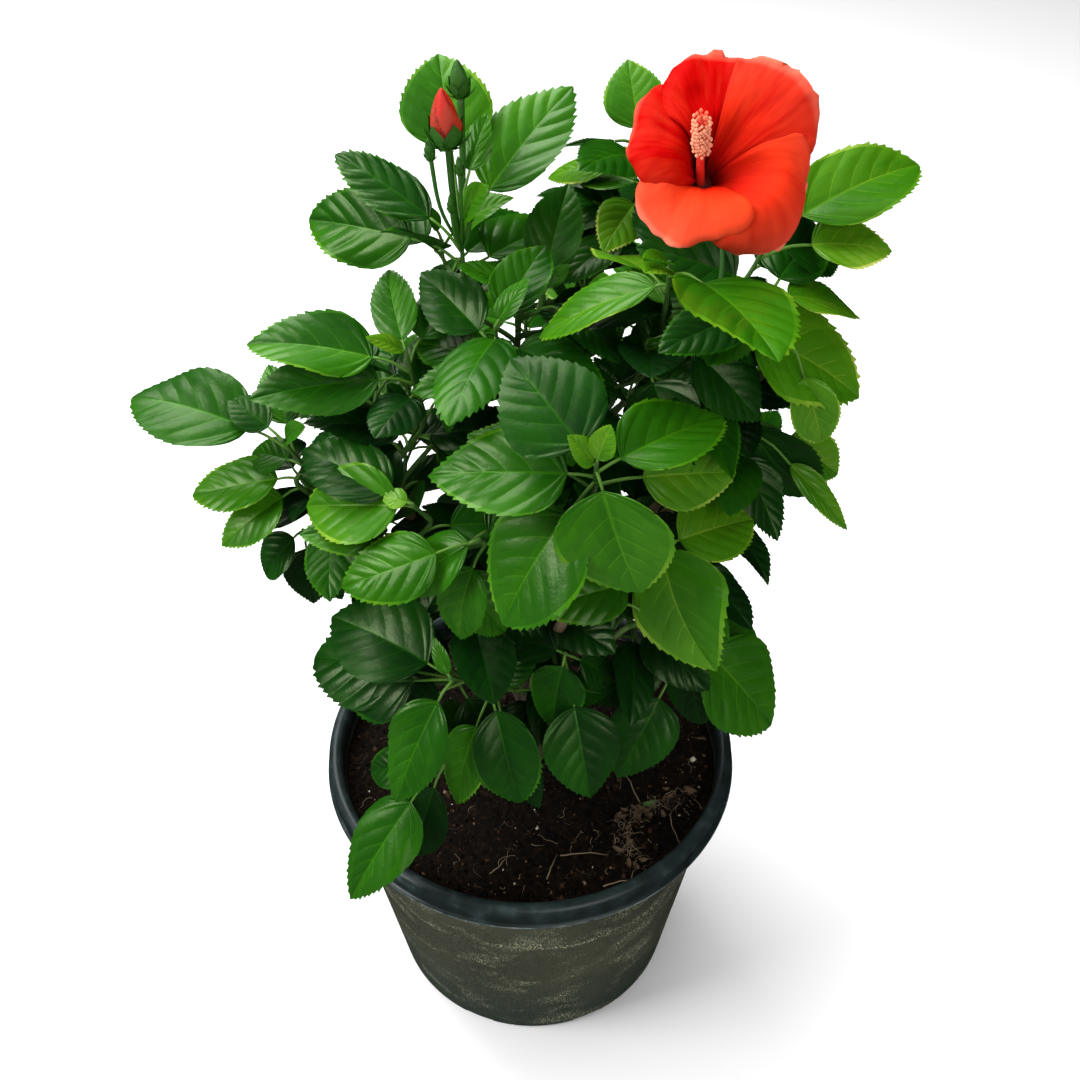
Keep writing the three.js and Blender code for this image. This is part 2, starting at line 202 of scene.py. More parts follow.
# Matt moulded polypropylene: dark grey-green, duller with age, with limescale that hard water left in
# level lines and crusts about 40 mm long and 20 mm high. The speck size of 1.1 mm is the crusts' grain.
pot_plastic, surface = new_material("moulded_polypropylene", "#3b4036", 0.6, Specular_IOR_Level=0.25)
place = add_node(pot_plastic, "ShaderNodeTexCoord").outputs["Object"]
parts = add_node(pot_plastic, "ShaderNodeSeparateXYZ", [("Vector", place)])
broad = add_node(pot_plastic, "ShaderNodeTexNoise", [("Vector", place)], Scale=cells(111 * MM), Detail=3)
body_green = add_node(
    pot_plastic, "ShaderNodeValToRGB", [("Fac", broad.outputs["Fac"])],
    stops=[(0.3, "#2e3226"), (0.55, "#3a3d2e"), (0.75, "#444636")],
)
low = add_node(
    pot_plastic, "ShaderNodeMapRange", [("Value", parts.outputs["Z"])], From_Min=0, From_Max=100 * MM,
)
darker_foot = add_node(pot_plastic, "ShaderNodeMix", [("Factor", low.outputs["Result"])], data_type="RGBA")
darker_foot.inputs["A"].default_value = linear("#2b3831")
link(pot_plastic, body_green.outputs["Color"], darker_foot.inputs["B"])
tide = add_node(pot_plastic, "ShaderNodeMapping", [("Vector", place)])
tide.inputs["Scale"].default_value = (cells(41.7 * MM), cells(41.7 * MM), cells(20 * MM))
tide_lines = add_node(
    pot_plastic, "ShaderNodeTexNoise", [("Vector", tide.outputs["Vector"])], Scale=1, Detail=6,
)
crust = add_node(
    pot_plastic, "ShaderNodeMapRange", [("Value", tide_lines.outputs["Fac"])],
    From_Min=0.5, From_Max=0.74, To_Min=0.1,
)
# One clear waterline runs round the wall 160 mm up. It sways by up to 10 mm and is broken in places.
sway = add_node(pot_plastic, "ShaderNodeTexNoise", [("Vector", place)], Scale=cells(71.4 * MM), Detail=2)
swayed = add_node(pot_plastic, "ShaderNodeMath", [(0, sway.outputs["Fac"])], operation="MULTIPLY")
swayed.inputs[1].default_value = 20 * MM
height = add_node(
    pot_plastic, "ShaderNodeMath", [(0, parts.outputs["Z"]), (1, swayed.outputs["Value"])], operation="ADD",
)
over = add_node(pot_plastic, "ShaderNodeMath", [(0, height.outputs["Value"])], operation="SUBTRACT")
over.inputs[1].default_value = 170 * MM
distance = add_node(pot_plastic, "ShaderNodeMath", [(0, over.outputs["Value"])], operation="ABSOLUTE")
waterline = add_node(
    pot_plastic, "ShaderNodeMapRange", [("Value", distance.outputs["Value"])],
    From_Min=3.5 * MM, From_Max=1.5 * MM,
)
gaps = add_node(
    pot_plastic, "ShaderNodeMapRange", [("Value", broad.outputs["Fac"])], From_Min=0.44, From_Max=0.52,
)
broken_line = add_node(
    pot_plastic, "ShaderNodeMath",
    [(0, waterline.outputs["Result"]), (1, gaps.outputs["Result"])], operation="MULTIPLY",
)
all_crust = add_node(
    pot_plastic, "ShaderNodeMath",
    [(0, crust.outputs["Result"]), (1, broken_line.outputs["Value"])], operation="MAXIMUM",
)
grain = add_node(pot_plastic, "ShaderNodeTexNoise", [("Vector", place)], Scale=cells(1.111 * MM), Detail=2)
specks = add_node(
    pot_plastic, "ShaderNodeMapRange", [("Value", grain.outputs["Fac"])], From_Min=0.53, From_Max=0.6,
)
lime = add_node(
    pot_plastic, "ShaderNodeMath",
    [(0, all_crust.outputs["Value"]), (1, specks.outputs["Result"])], operation="MULTIPLY",
)
limed = add_node(
    pot_plastic, "ShaderNodeMix",
    [("Factor", lime.outputs["Value"]), ("A", darker_foot.outputs["Result"])], data_type="RGBA",
)
limed.inputs["B"].default_value = linear("#a8a888")
link(pot_plastic, limed.outputs["Result"], surface.inputs["Base Color"])
relief = add_node(
    pot_plastic, "ShaderNodeBump", [("Height", lime.outputs["Value"])], Strength=0.5, Distance=0.6 * MM,
)
link(pot_plastic, relief.outputs["Normal"], surface.inputs["Normal"])

# The band is handled and rained on, so it is cleaner and glossier, and looks blue-black. Its scuffs are
# some 14 mm across.
band_plastic, surface = new_material("handled_polypropylene_band", "#1f2a2a", 0.32, Specular_IOR_Level=0.3)
place = add_node(band_plastic, "ShaderNodeTexCoord").outputs["Object"]
scuffs = add_node(band_plastic, "ShaderNodeTexNoise", [("Vector", place)], Scale=cells(14.3 * MM), Detail=5)
band_colour = add_node(
    band_plastic, "ShaderNodeValToRGB", [("Fac", scuffs.outputs["Fac"])],
    stops=[(0.35, "#18211f"), (0.58, "#212d2c"), (0.8, "#3c4a4b")],
)
link(band_plastic, band_colour.outputs["Color"], surface.inputs["Base Color"])
dull = add_node(
    band_plastic, "ShaderNodeMapRange", [("Value", scuffs.outputs["Fac"])], To_Min=0.22, To_Max=0.5,
)
link(band_plastic, dull.outputs["Result"], surface.inputs["Roughness"])

# A painted highlight: the band's lowest edge is painted pale, in spots of 8 mm, where light catches its
# rim.
painted_highlight_edge, surface = new_material("painted_highlight_band_edge", "#4c5755", 0.45)
place = add_node(painted_highlight_edge, "ShaderNodeTexCoord").outputs["Object"]
highlight_spots = add_node(painted_highlight_edge, "ShaderNodeTexNoise", [("Vector", place)], Scale=cells(8.33 * MM), Detail=4)
highlight_ramp = add_node(
    painted_highlight_edge, "ShaderNodeValToRGB", [("Fac", highlight_spots.outputs["Fac"])],
    stops=[(0.35, "#2a3635"), (0.55, "#55615f"), (0.75, "#76827f")],
)
link(painted_highlight_edge, highlight_ramp.outputs["Color"], surface.inputs["Base Color"])
EDGE_HEIGHT = 2.4 * MM

for material in (pot_plastic, band_plastic, painted_highlight_edge):
    pot.data.materials.append(material)
for face in pot.data.polygons:
    face.material_index = int(face.center.z > band_foot - 0.5 * MM)
    # The band's lowest edge takes the painted highlight.
    if 0 < face.center.z - band_foot < EDGE_HEIGHT and face.center.xy.length > RIM_RADIUS - 2.2 * MM:
        face.material_index = 2
bpy.ops.object.select_all(action="DESELECT")
pot.select_set(True)
bpy.ops.object.shade_smooth_by_angle(angle=math.radians(35))
settle(pot, "pot_plastic", "pot")

# ---- Soil ----
# Damp potting mix of peat, bark and a little perlite. It has sunk to 24 mm under the rim, and its top is
# loose crumbs, dead roots, bits of twig and dried leaf.
SOIL_LEVEL = 214 * MM
SOIL_RADIUS = wall_radius(SOIL_LEVEL) - WALL - 0.3 * MM
CRUST_DEPTH = 4 * MM
chance = np.random.default_rng(41)


def soil_height(x, y):
    """The loose surface's height over the level of the soil."""
    broad_rise = noise.noise(Vector((x * 26, y * 26, 0.3))) * 2.2 * MM
    clods = noise.noise(Vector((x * 120, y * 120, 4.1))) * 1.5 * MM
    crumbs = noise.noise(Vector((x * 420, y * 420, 7.7))) * 0.9 * MM
    return SOIL_LEVEL + 2.6 * MM + broad_rise + clods + crumbs


SOIL_GRID = 190
bpy.ops.object.select_all(action="DESELECT")
bpy.ops.mesh.primitive_grid_add(x_subdivisions=SOIL_GRID, y_subdivisions=SOIL_GRID, size=2)
soil_top = bpy.context.object
soil_top.name = "loose_soil"
for point in soil_top.data.vertices:
    x, y = point.co.x, point.co.y
    round_x = x * math.sqrt(1 - y * y / 2)
    round_y = y * math.sqrt(1 - x * x / 2)
    point.co = (round_x * SOIL_RADIUS, round_y * SOIL_RADIUS, 0)
    point.co.z = soil_height(point.co.x, point.co.y)
depth = soil_top.modifiers.new("depth", "SOLIDIFY")
depth.thickness = CRUST_DEPTH
bpy.ops.object.modifier_apply(modifier=depth.name)
bpy.ops.object.shade_smooth()

# Peat and bark in crumbs of about 4 mm: nearly black when damp, a warmer brown where they have dried.
potting_mix, surface = new_material("damp_potting_mix", "#140e09", 0.95, Specular_IOR_Level=0.15)
place = add_node(potting_mix, "ShaderNodeTexCoord").outputs["Object"]
mottle = add_node(
    potting_mix, "ShaderNodeTexNoise", [("Vector", place)],
    Scale=cells(3.85 * MM), Detail=6, Roughness=0.7,
)
mix_colour = add_node(
    potting_mix, "ShaderNodeValToRGB", [("Fac", mottle.outputs["Fac"])],
    stops=[(0.35, "#050301"), (0.52, "#0f0904"), (0.66, "#24170c"), (0.8, "#4a3624")],
)
link(potting_mix, mix_colour.outputs["Color"], surface.inputs["Base Color"])
relief = add_node(
    potting_mix, "ShaderNodeBump", [("Height", mottle.outputs["Fac"])], Strength=1, Distance=1.2 * MM,
)
link(potting_mix, relief.outputs["Normal"], surface.inputs["Normal"])
soil_top.data.materials.append(potting_mix)
settle(soil_top, "potting_soil")
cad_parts["soil"].data.materials.clear()
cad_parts["soil"].data.materials.append(potting_mix)


def mesh_piece(name, points, faces, materials, slots=None):
    """A piece from arrays: its points, its faces, its materials and the material number of each face."""
    mesh = bpy.data.meshes.new(name)
    mesh.from_pydata([tuple(p) for p in points], [], [tuple(f) for f in faces])
    for material in materials:
        mesh.materials.append(material)
    if slots is not None:
        mesh.polygons.foreach_set("material_index", np.asarray(slots, dtype=np.int32))
    mesh.polygons.foreach_set("use_smooth", [True] * len(mesh.polygons))
    mesh.update()
    piece = bpy.data.objects.new(name, mesh)
    bpy.context.scene.collection.objects.link(piece)
    return piece


class Heap:
    """Points, faces and material numbers of many small shapes that are joined in one piece."""

    def __init__(self):
        self.points, self.faces, self.slots, self.count = [], [], [], 0

    def add(self, points, faces, slots):
        self.points.append(points)
        self.faces += [tuple(i + self.count for i in face) for face in faces]
        self.slots += [slots] * len(faces) if isinstance(slots, int) else list(slots)
        self.count += len(points)

    def piece(self, name, materials):
        return mesh_piece(name, np.concatenate(self.points), self.faces, materials, self.slots)


def unit(vector):
    return vector / np.linalg.norm(vector)


def tube(path, radii, sides):
    """Points and faces of a closed tube along a path, with a radius for each of its points."""
    path = np.asarray(path, dtype=float)
    ahead = np.gradient(path, axis=0)
    ahead /= np.linalg.norm(ahead, axis=1)[:, None]
    side = unit(np.cross(ahead[0], (0.31, 0.77, 0.55)))
    points = []
    for centre, way, radius in zip(path, ahead, radii):
        side = unit(side - way * side.dot(way))
        other = np.cross(way, side)
        turns = np.arange(sides) * 2 * np.pi / sides
        ring = np.outer(np.cos(turns), side) + np.outer(np.sin(turns), other)
        points.append(centre + ring * np.reshape(radius, (-1, 1)))
    faces = []
    for i in range(len(path) - 1):
        for j in range(sides):
            k = (j + 1) % sides
            faces.append((i * sides + j, i * sides + k, (i + 1) * sides + k, (i + 1) * sides + j))
    last = (len(path) - 1) * sides
    faces.append(tuple(range(sides - 1, -1, -1)))
    faces.append(tuple(range(last, last + sides)))
    return np.concatenate(points), faces


def random_place(reach):
    turn = chance.uniform(0, 2 * math.pi)
    radius = reach * math.sqrt(chance.uniform(0.004, 1))
    return radius * math.cos(turn), radius * math.sin(turn)


# Peat, bark, pale bark and perlite: their shares of the crumbs, their sizes and their finishes.
CRUMB_SHARES = (0.66, 0.26, 0.07, 0.01)
CRUMB_SIZES = (0.42, 0.4, 0.3, 0.4)
CRUMB_FINISHES = [
    ("peat_crumb", "#0d0804", 0.95),
    ("bark_crumb", "#38271a", 0.9),
    ("pale_bark_crumb", "#7b6550", 0.85),
    ("perlite_grain", "#c9c2b0", 0.9),
]
CRUMBS = 2600
LUMP = np.array([(x, y, z) for x in (-1, 1) for y in (-1, 1) for z in (-1, 1)]) * 0.6
LUMP_FACES = [(0, 1, 3, 2), (4, 6, 7, 5), (0, 4, 5, 1), (2, 3, 7, 6), (0, 2, 6, 4), (1, 5, 7, 3)]
crumb_heap = Heap()
for _ in range(CRUMBS):
    x, y = random_place(SOIL_RADIUS - 3 * MM)
    kind = chance.choice(4, p=CRUMB_SHARES)
    size = chance.gamma(3, CRUMB_SIZES[kind]) * MM
    shape = LUMP * chance.uniform(0.55, 1.3, (8, 3)) * chance.uniform(0.5, 1.2, 3)
    tilt = np.linalg.qr(chance.normal(size=(3, 3)))[0]
    tilt *= np.sign(np.linalg.det(tilt))
    crumb_heap.add(shape @ tilt * size + (x, y, soil_height(x, y) + size * 0.2), LUMP_FACES, int(kind))
crumb_materials = [new_material(*finish, Specular_IOR_Level=0.15)[0] for finish in CRUMB_FINISHES]
crumbs = crumb_heap.piece("soil_crumbs", crumb_materials)
settle(crumbs, "potting_soil")

# Dead roots and straw-like fibres lie on the soil, a few long ones and a twig in front, and a ragged
# clump of dead roots and shrivelled leaf to the right.
ROOTS = 150
# Each long fibre's place, turn, length and thickness.
LONG_FIBRES = [
    (0.053, -0.124, 0.5, 0.038, 0.0007),
    (0.101, 0.030, 4.4, 0.040, 0.0008),
    (0.012, -0.118, 1.2, 0.026, 0.0006),
    (0.085, -0.050, 1.9, 0.044, 0.0006),
    (0.108, -0.058, 4.4, 0.040, 0.0005),
    (-0.030, -0.112, 0.6, 0.020, 0.0005),
]
CLUMP_LINE = np.array([(126, -42), (104, -50), (84, -56), (73, -66), (71, -86), (78, -106)]) * MM
CLUMP_ROOTS = 170
CLUMP_FLAKES = 26
FIBRE_STEPS = 9
FULL_TURN = 6.3
STRAW, DEAD_LEAF, GREEN_LEAF = 1, 2, 3
# All but the green leaf are bone dry and matt.
FIBRE_FINISHES = [
    ("dead_root", "#46372a", 0.9),
    ("dry_straw", "#84735a", 0.85),
    ("shrivelled_leaf", "#5c4a35", 0.9),
    ("fallen_green_leaf", "#4c6a34", 0.7),
]
fibre_heap = Heap()


def lay_fibre(x, y, turn, length, thickness, slot, bend, lift=0.0):
    """A thin root or straw that follows the soil from a place on, and bends as it goes."""
    steps = FIBRE_STEPS
    path = []
    for i in range(steps):
        path.append((x, y, soil_height(x, y) + thickness + lift * math.sin(math.pi * i / (steps - 1))))
        turn += bend * chance.normal() / steps
        x += math.cos(turn) * length / steps
        y += math.sin(turn) * length / steps
        if math.hypot(x, y) > SOIL_RADIUS - 4 * MM:
            turn += math.pi / 2
    radii = [thickness * (1 - 0.6 * i / steps) for i in range(steps)]
    fibre_heap.add(*tube(path, radii, 5), slot)


for _ in range(ROOTS):
    x, y = random_place(SOIL_RADIUS - 8 * MM)
    turn, length = chance.uniform(0, FULL_TURN), chance.uniform(5, 22) * MM
    lay_fibre(x, y, turn, length, 0.25 * MM, int(chance.integers(2)), 5)
for x, y, turn, length, thickness in LONG_FIBRES:
    lay_fibre(x, y, turn, length, thickness, STRAW, 1.6, lift=2 * MM)
lay_fibre(0.022, -0.097, -0.02, 0.04, 0.0006, STRAW, 0.1, lift=2.5 * MM)
for i in range(CLUMP_ROOTS):
    at = i / CLUMP_ROOTS * (len(CLUMP_LINE) - 1)
    before, after = CLUMP_LINE[int(at)], CLUMP_LINE[int(at) + 1]
    x, y = before + (after - before) * (at % 1) + chance.normal(size=2) * 4.5 * MM
    length, lift = chance.uniform(4, 15) * MM, chance.uniform(0, 5) * MM
    turn, thickness = chance.uniform(0, FULL_TURN), chance.uniform(0.15, 0.42) * MM
    lay_fibre(x, y, turn, length, thickness, int(chance.integers(2)), 6, lift)
for i in range(CLUMP_FLAKES):
    x, y = CLUMP_LINE[int(chance.integers(len(CLUMP_LINE)))] + chance.normal(size=2) * 5 * MM
    turn, reach = chance.uniform(0, FULL_TURN), chance.uniform(2.5, 6) * MM
    flake = []
    for across in (-0.5, 0, 0.5):
        for ahead in (-1, -0.3, 0.4, 1):
            swell = (1 - ahead * ahead * 0.8) * across * reach
            spot_x = x + math.cos(turn) * ahead * reach - math.sin(turn) * swell
            spot_y = y + math.sin(turn) * ahead * reach + math.cos(turn) * swell
            curl = 1.6 * MM * (across * across * 4 + ahead * ahead) + chance.uniform(0, 1) * MM
            flake.append((spot_x, spot_y, soil_height(spot_x, spot_y) + 1 * MM + curl))
    faces = [(a, a + 1, a + 5, a + 4) for a in (0, 1, 2, 4, 5, 6)]
    fibre_heap.add(np.array(flake), faces, DEAD_LEAF if i else GREEN_LEAF)


def grained(name, colour, roughness, grain_size, depth):
    """A small part's finish: one colour on a skin with a grain of this size and depth."""
    material, surface = new_material(name, colour, roughness)
    place = add_node(material, "ShaderNodeTexCoord").outputs["Object"]
    grain = add_node(material, "ShaderNodeTexNoise", [("Vector", place)], Scale=cells(grain_size), Detail=3)
    relief = add_node(
        material, "ShaderNodeBump", [("Height", grain.outputs["Fac"])], Strength=0.6, Distance=depth,
    )
    link(material, relief.outputs["Normal"], surface.inputs["Normal"])
    return material


fibre_materials = [grained(*finish, 0.667 * MM, 0.4 * MM) for finish in FIBRE_FINISHES]
fibres = fibre_heap.piece("soil_fibres", fibre_materials)
settle(fibres, "potting_soil")

# ---- Trunk, stems and boughs ----
# The woody frame of the shrub. The trunk forks low down into four stems, and each of these into boughs.
# Old wood has grey-brown bark with fine cracks and rings of old leaf scars. The last stretches are green.
TRUNK_ROUTE = [(0, 0, 206), (1, 0, 254), (-4, 4, 319), (-10, 12, 404)]
TRUNK_RADII = (9.5, 5.5)
# What carries each limb, how far along that one, where it heads for and its radius at each end in
# millimetres, and how much of it is wood: a green shoot takes over from there.
LIMBS = {
    "stem_left": ("trunk", 0.3, (-62, 4, 432), (6, 4), 1),
    "stem_right": ("trunk", 0.38, (74, -4, 452), (6.5, 4.2), 1),
    "stem_front": ("trunk", 0.24, (18, -66, 420), (6, 4), 1),
    "stem_back": ("trunk", 0.46, (6, 74, 440), (6, 4), 1),
    "bough_bud_top": ("trunk", 0.985, (-43, 30, 700), (4.4, 2.6), 0.69),
    "bough_centre": ("trunk", 0.8, (8, -30, 612), (3.6, 2.4), 0.82),
    "bough_centre_back": ("trunk", 0.9, (-2, 44, 612), (3.6, 2.4), 0.89),
    "bough_back_top": ("stem_back", 0.96, (52, 82, 672), (3.8, 2.4), 0.78),
    "bough_flower": ("stem_right", 0.97, (94, -31, 712), (3.9, 2.2), 0.63),
    "bough_right_top": ("stem_right", 0.84, (170, 22, 634), (3.6, 2.4), 0.88),
    "bough_left": ("stem_left", 0.96, (-105, 0, 598), (3.7, 2.4), 0.6),
    "bough_far_left": ("stem_left", 0.74, (-190, 10, 530), (3.6, 2.3), 0.68),
    "bough_far_left_low": ("stem_left", 0.5, (-160, 12, 436), (3.2, 2.2), 0.67),
    "bough_front": ("stem_front", 0.96, (33, -122, 588), (3.8, 2.5), 0.78),
    "bough_right": ("stem_right", 0.66, (150, -24, 522), (3.5, 2.3), 0.79),
    "bough_front_left": ("stem_left", 0.62, (-84, -80, 518), (3.4, 2.2), 0.71),
    "bough_front_right": ("stem_front", 0.7, (84, -100, 482), (3.3, 2.2), 0.76),
    "bough_back_left": ("stem_back", 0.58, (-94, 102, 474), (3.6, 2.3), 0.82),
    "bough_back": ("stem_back", 0.82, (2, 140, 508), (3.6, 2.3), 0.78),
    "bough_back_right": ("stem_back", 0.7, (100, 122, 512), (3.6, 2.3), 0.84),
    "bough_low_left": ("stem_left", 0.26, (-92, -76, 376), (3.2, 2.1), 0.68),
    "bough_over_rim": ("trunk", 0.16, (-88, -124, 286), (3, 2), 0.32),
    "bough_low_front": ("stem_front", 0.34, (26, -86, 380), (3.1, 2.1), 0.77),
    "bough_low_right": ("stem_right", 0.3, (116, -50, 378), (3.3, 2.1), 0.78),
    "bough_low_back": ("stem_back", 0.26, (-4, 114, 356), (3.3, 2.1), 0.68),
}
ROUTE_STEPS = 120
SPAN_STEPS = 60


def smooth_route(points):
    """A centripetal Catmull-Rom curve through the points, as evenly spaced points."""
    points = [np.array(p, dtype=float) for p in points]
    ends = [2 * points[0] - points[1]] + points + [2 * points[-1] - points[-2]]
    fine = []
    for a, b, c, d in zip(ends, ends[1:], ends[2:], ends[3:]):
        gaps = [max(np.linalg.norm(q - p), 1e-9) ** 0.5 for p, q in ((a, b), (b, c), (c, d))]
        start = ((b - a) / gaps[0] - (c - a) / (gaps[0] + gaps[1]) + (c - b) / gaps[1]) * gaps[1]
        end = ((c - b) / gaps[1] - (d - b) / (gaps[1] + gaps[2]) + (d - c) / gaps[2]) * gaps[1]
        for t in np.linspace(0, 1, SPAN_STEPS, endpoint=False):
            cubic = 2 * b - 2 * c + start + end
            square = -3 * b + 3 * c - 2 * start - end
            fine.append(((cubic * t + square) * t + start) * t + b)
    fine.append(points[-1])
    fine = np.array(fine)
    run = np.concatenate([[0], np.cumsum(np.linalg.norm(np.diff(fine, axis=0), axis=1))])
    even = np.linspace(0, run[-1], ROUTE_STEPS + 1)
    return np.stack([np.interp(even, run, fine[:, k]) for k in range(3)], axis=1)


def along(route, share):
    """The place and the heading at a share of a route."""
    at = share * (len(route) - 1)
    low_index = min(int(at), len(route) - 2)
    place = route[low_index] + (route[low_index + 1] - route[low_index]) * (at - low_index)
    before, after = max(low_index - 1, 0), min(low_index + 2, len(route) - 1)
    return place, unit(route[after] - route[before])


def limb_route(carrier, share, end):
    """The limb rises at once and then bends out to its end, like a shoot that seeks the light."""
    start, heading = along(carrier, share)
    finish = np.array(end, dtype=float)
    reach = finish - start
    bend = start + heading * np.linalg.norm(reach) * 0.22 + reach * (0.34, 0.34, 0)
    bend[2] = start[2] + reach[2] * 0.42
    return smooth_route([start, bend, finish])


routes = {"trunk": smooth_route(TRUNK_ROUTE)}
radii = {"trunk": TRUNK_RADII}
wooded = {"trunk": 1}
for name, (carrier, share, end, ends, wood) in LIMBS.items():
    routes[name] = limb_route(routes[carrier], share, end)
    radii[name] = ends
    wooded[name] = wood

# Each ring of a limb is ridged and swells at the scars. Like leaves, they stand 144 degrees apart.
LEAF_TURN = 144
RING_GAP = 1.6
wood_heap = Heap()
for name, route in routes.items():
    length = np.linalg.norm(np.diff(route, axis=0), axis=1).sum()
    rings = max(int(length / RING_GAP), 8)
    sides = 18 if name == "trunk" else 12
    shares = np.linspace(0, wooded[name], rings)
    path = np.array([along(route, share)[0] for share in shares])
    scar_gap = 13 if name.startswith("bough") else 17
    first_scar = chance.uniform(0, 360)
    ring_radii = []
    for share in shares:
        radius = radii[name][0] + (radii[name][1] - radii[name][0]) * share
        if name == "trunk":
            radius += 5 * math.exp(-share * 14)
        elif name.startswith("bough"):
            radius *= 1 - 0.3 * max(share / wooded[name] - 0.8, 0) / 0.2
        turns = np.degrees(np.arange(sides) * 2 * np.pi / sides)
        swell = np.zeros(sides)
        for node in range(int(length / scar_gap)):
            off = share * length - (node + 0.5) * scar_gap
            if abs(off) < 4:
                swing = (turns - first_scar - LEAF_TURN * node + 180) % 360 - 180
                swell += 0.22 * math.exp(-off * off / 2.2) * np.exp(-(swing / 45) ** 2)
                swell += 0.05 * math.exp(-off * off / 1.2)
        ridges = np.array([noise.noise(Vector((t / 22, share * length / 26, len(name)))) for t in turns])
        fine = np.array([noise.noise(Vector((t / 7, share * length / 5, 9 + len(name)))) for t in turns])
        ring_radii.append(radius * (1 + swell + 0.07 * ridges + 0.035 * fine) * MM)
    points, faces = tube(path * MM, ring_radii, sides)
    slots = []
    for share in shares[:-1]:
        youth = share if name.startswith("bough") else -0.2
        for _ in range(sides):
            level = youth + 0.13 * chance.normal()
            slots.append(sum(level >= limit for limit in (0, 0.34, 0.6)))
    wood_heap.add(points, faces, slots + [slots[0], slots[-1]])

# From the oldest bark to the youngest, which is smooth and green. The skin cracks about every 1.4 mm.
WOOD_FINISHES = [
    ("old_hibiscus_bark", "#54483a", 0.9),
    ("brown_bark", "#5f4b34", 0.85),
    ("greening_bark", "#56552c", 0.75),
    ("green_stem_skin", "#41631f", 0.55),
]
wood_materials = []
for finish in WOOD_FINISHES:
    material, surface = new_material(*finish)
    place = add_node(material, "ShaderNodeTexCoord").outputs["Object"]
    cracks = add_node(
        material, "ShaderNodeTexNoise", [("Vector", place)],
        Scale=cells(1.429 * MM), Detail=4, Roughness=0.6,
    )
    relief = add_node(
        material, "ShaderNodeBump", [("Height", cracks.outputs["Fac"])], Strength=0.6, Distance=0.5 * MM,
    )
    link(material, relief.outputs["Normal"], surface.inputs["Normal"])
    wood_materials.append(material)
wood = wood_heap.piece("trunk_and_boughs", wood_materials)
settle(wood, "bark", *routes)

# ---- Flower ----
# One open bloom. Five thin, ruffled petals overlap like a turning fan and form a funnel. A red column
# stands in its throat, ringed by stamens, and a green calyx holds the foot.
THROAT = np.array([94, -31, 719])
BLOOM_AXIS = unit(np.array([0.12, -0.42, 0.9]))
BLOOM_RIGHT = unit(np.cross((0.0, 1.0, 0.35), BLOOM_AXIS))
BLOOM_UP = np.cross(BLOOM_AXIS, BLOOM_RIGHT)
PETAL_COLUMNS, PETAL_ROWS = 41, 40
# For each petal: its turn round the axis, how far round it reaches to each side, how deep its folds are,
# how much painted light it has (paler where it faces up to the light, a deeper, shaded red where it stands
# upright), the line down its middle as (distance from the axis, height along it) points from the foot to
# the edge, and how far out its edge lies from one side to the other.
PETALS = [
    (
        240, 62, 0.3, 0.9, [(2.5, -8), (6, 6), (14, 15), (26, 14), (37, 6), (42, 1)],
        (0.84, 0.97, 1, 0.97, 0.82, 0.66),
    ),
    (
        322, 54, 0.8, 0.5, [(2.5, -8), (6, 6), (18, 20), (40, 33), (53, 22), (53, -1)],
        (0.87, 0.96, 1, 1, 1, 0.83),
    ),
    (
        393, 48, 0.4, 0.24, [(2.5, -8), (6, 8), (22, 28), (41, 43), (50, 57)],
        (0.63, 0.95, 1, 1, 1, 0.97),
    ),
    (
        454, 46, 0.3, 0, [(2.5, -8), (6, 8), (17, 29), (37, 31), (64, 33)],
        (0.9, 0.98, 1, 0.97, 0.87, 0.8),
    ),
    (
        518, 72, 0.4, 0.08, [(2.5, -8), (6, 8), (16, 27), (28, 28), (46, 21)],
        (0.86, 0.94, 0.98, 0.97, 0.84, 0.42),
    ),
]
EDGE_AT = (-1, -0.6, -0.2, 0.2, 0.6, 1)


def bloom(turn, radius, rise):
    """A place in the bloom, from the turn round its axis, the distance from it and the height along it."""
    return (
        THROAT
        + np.outer(np.cos(turn) * radius, BLOOM_RIGHT)
        + np.outer(np.sin(turn) * radius, BLOOM_UP)
        + np.outer(rise, BLOOM_AXIS)
    )


lines = [smooth_route([(r, h, 0) for r, h in petal[4]]) for petal in PETALS]
line_turns = [petal[0] for petal in PETALS]


def bell(turns, share):
    """Distance from the axis and height along it, blended round the bloom from the petals' middle lines."""
    steps = np.linspace(0, 1, len(lines[0]))
    radius, height = np.zeros(len(turns)), np.zeros(len(turns))
    for j, line in enumerate(lines):
        before = (line_turns[j] - line_turns[j - 1]) % 360
        after = (line_turns[(j + 1) % len(lines)] - line_turns[j]) % 360
        off = (turns - line_turns[j] + 180) % 360 - 180
        weight = np.clip(np.where(off < 0, 1 + off / before, 1 - off / after), 0, 1)
        weight = weight * weight * (3 - 2 * weight)
        radius += weight * np.interp(share, steps, line[:, 0])
        height += weight * np.interp(share, steps, line[:, 1])
    return radius, height


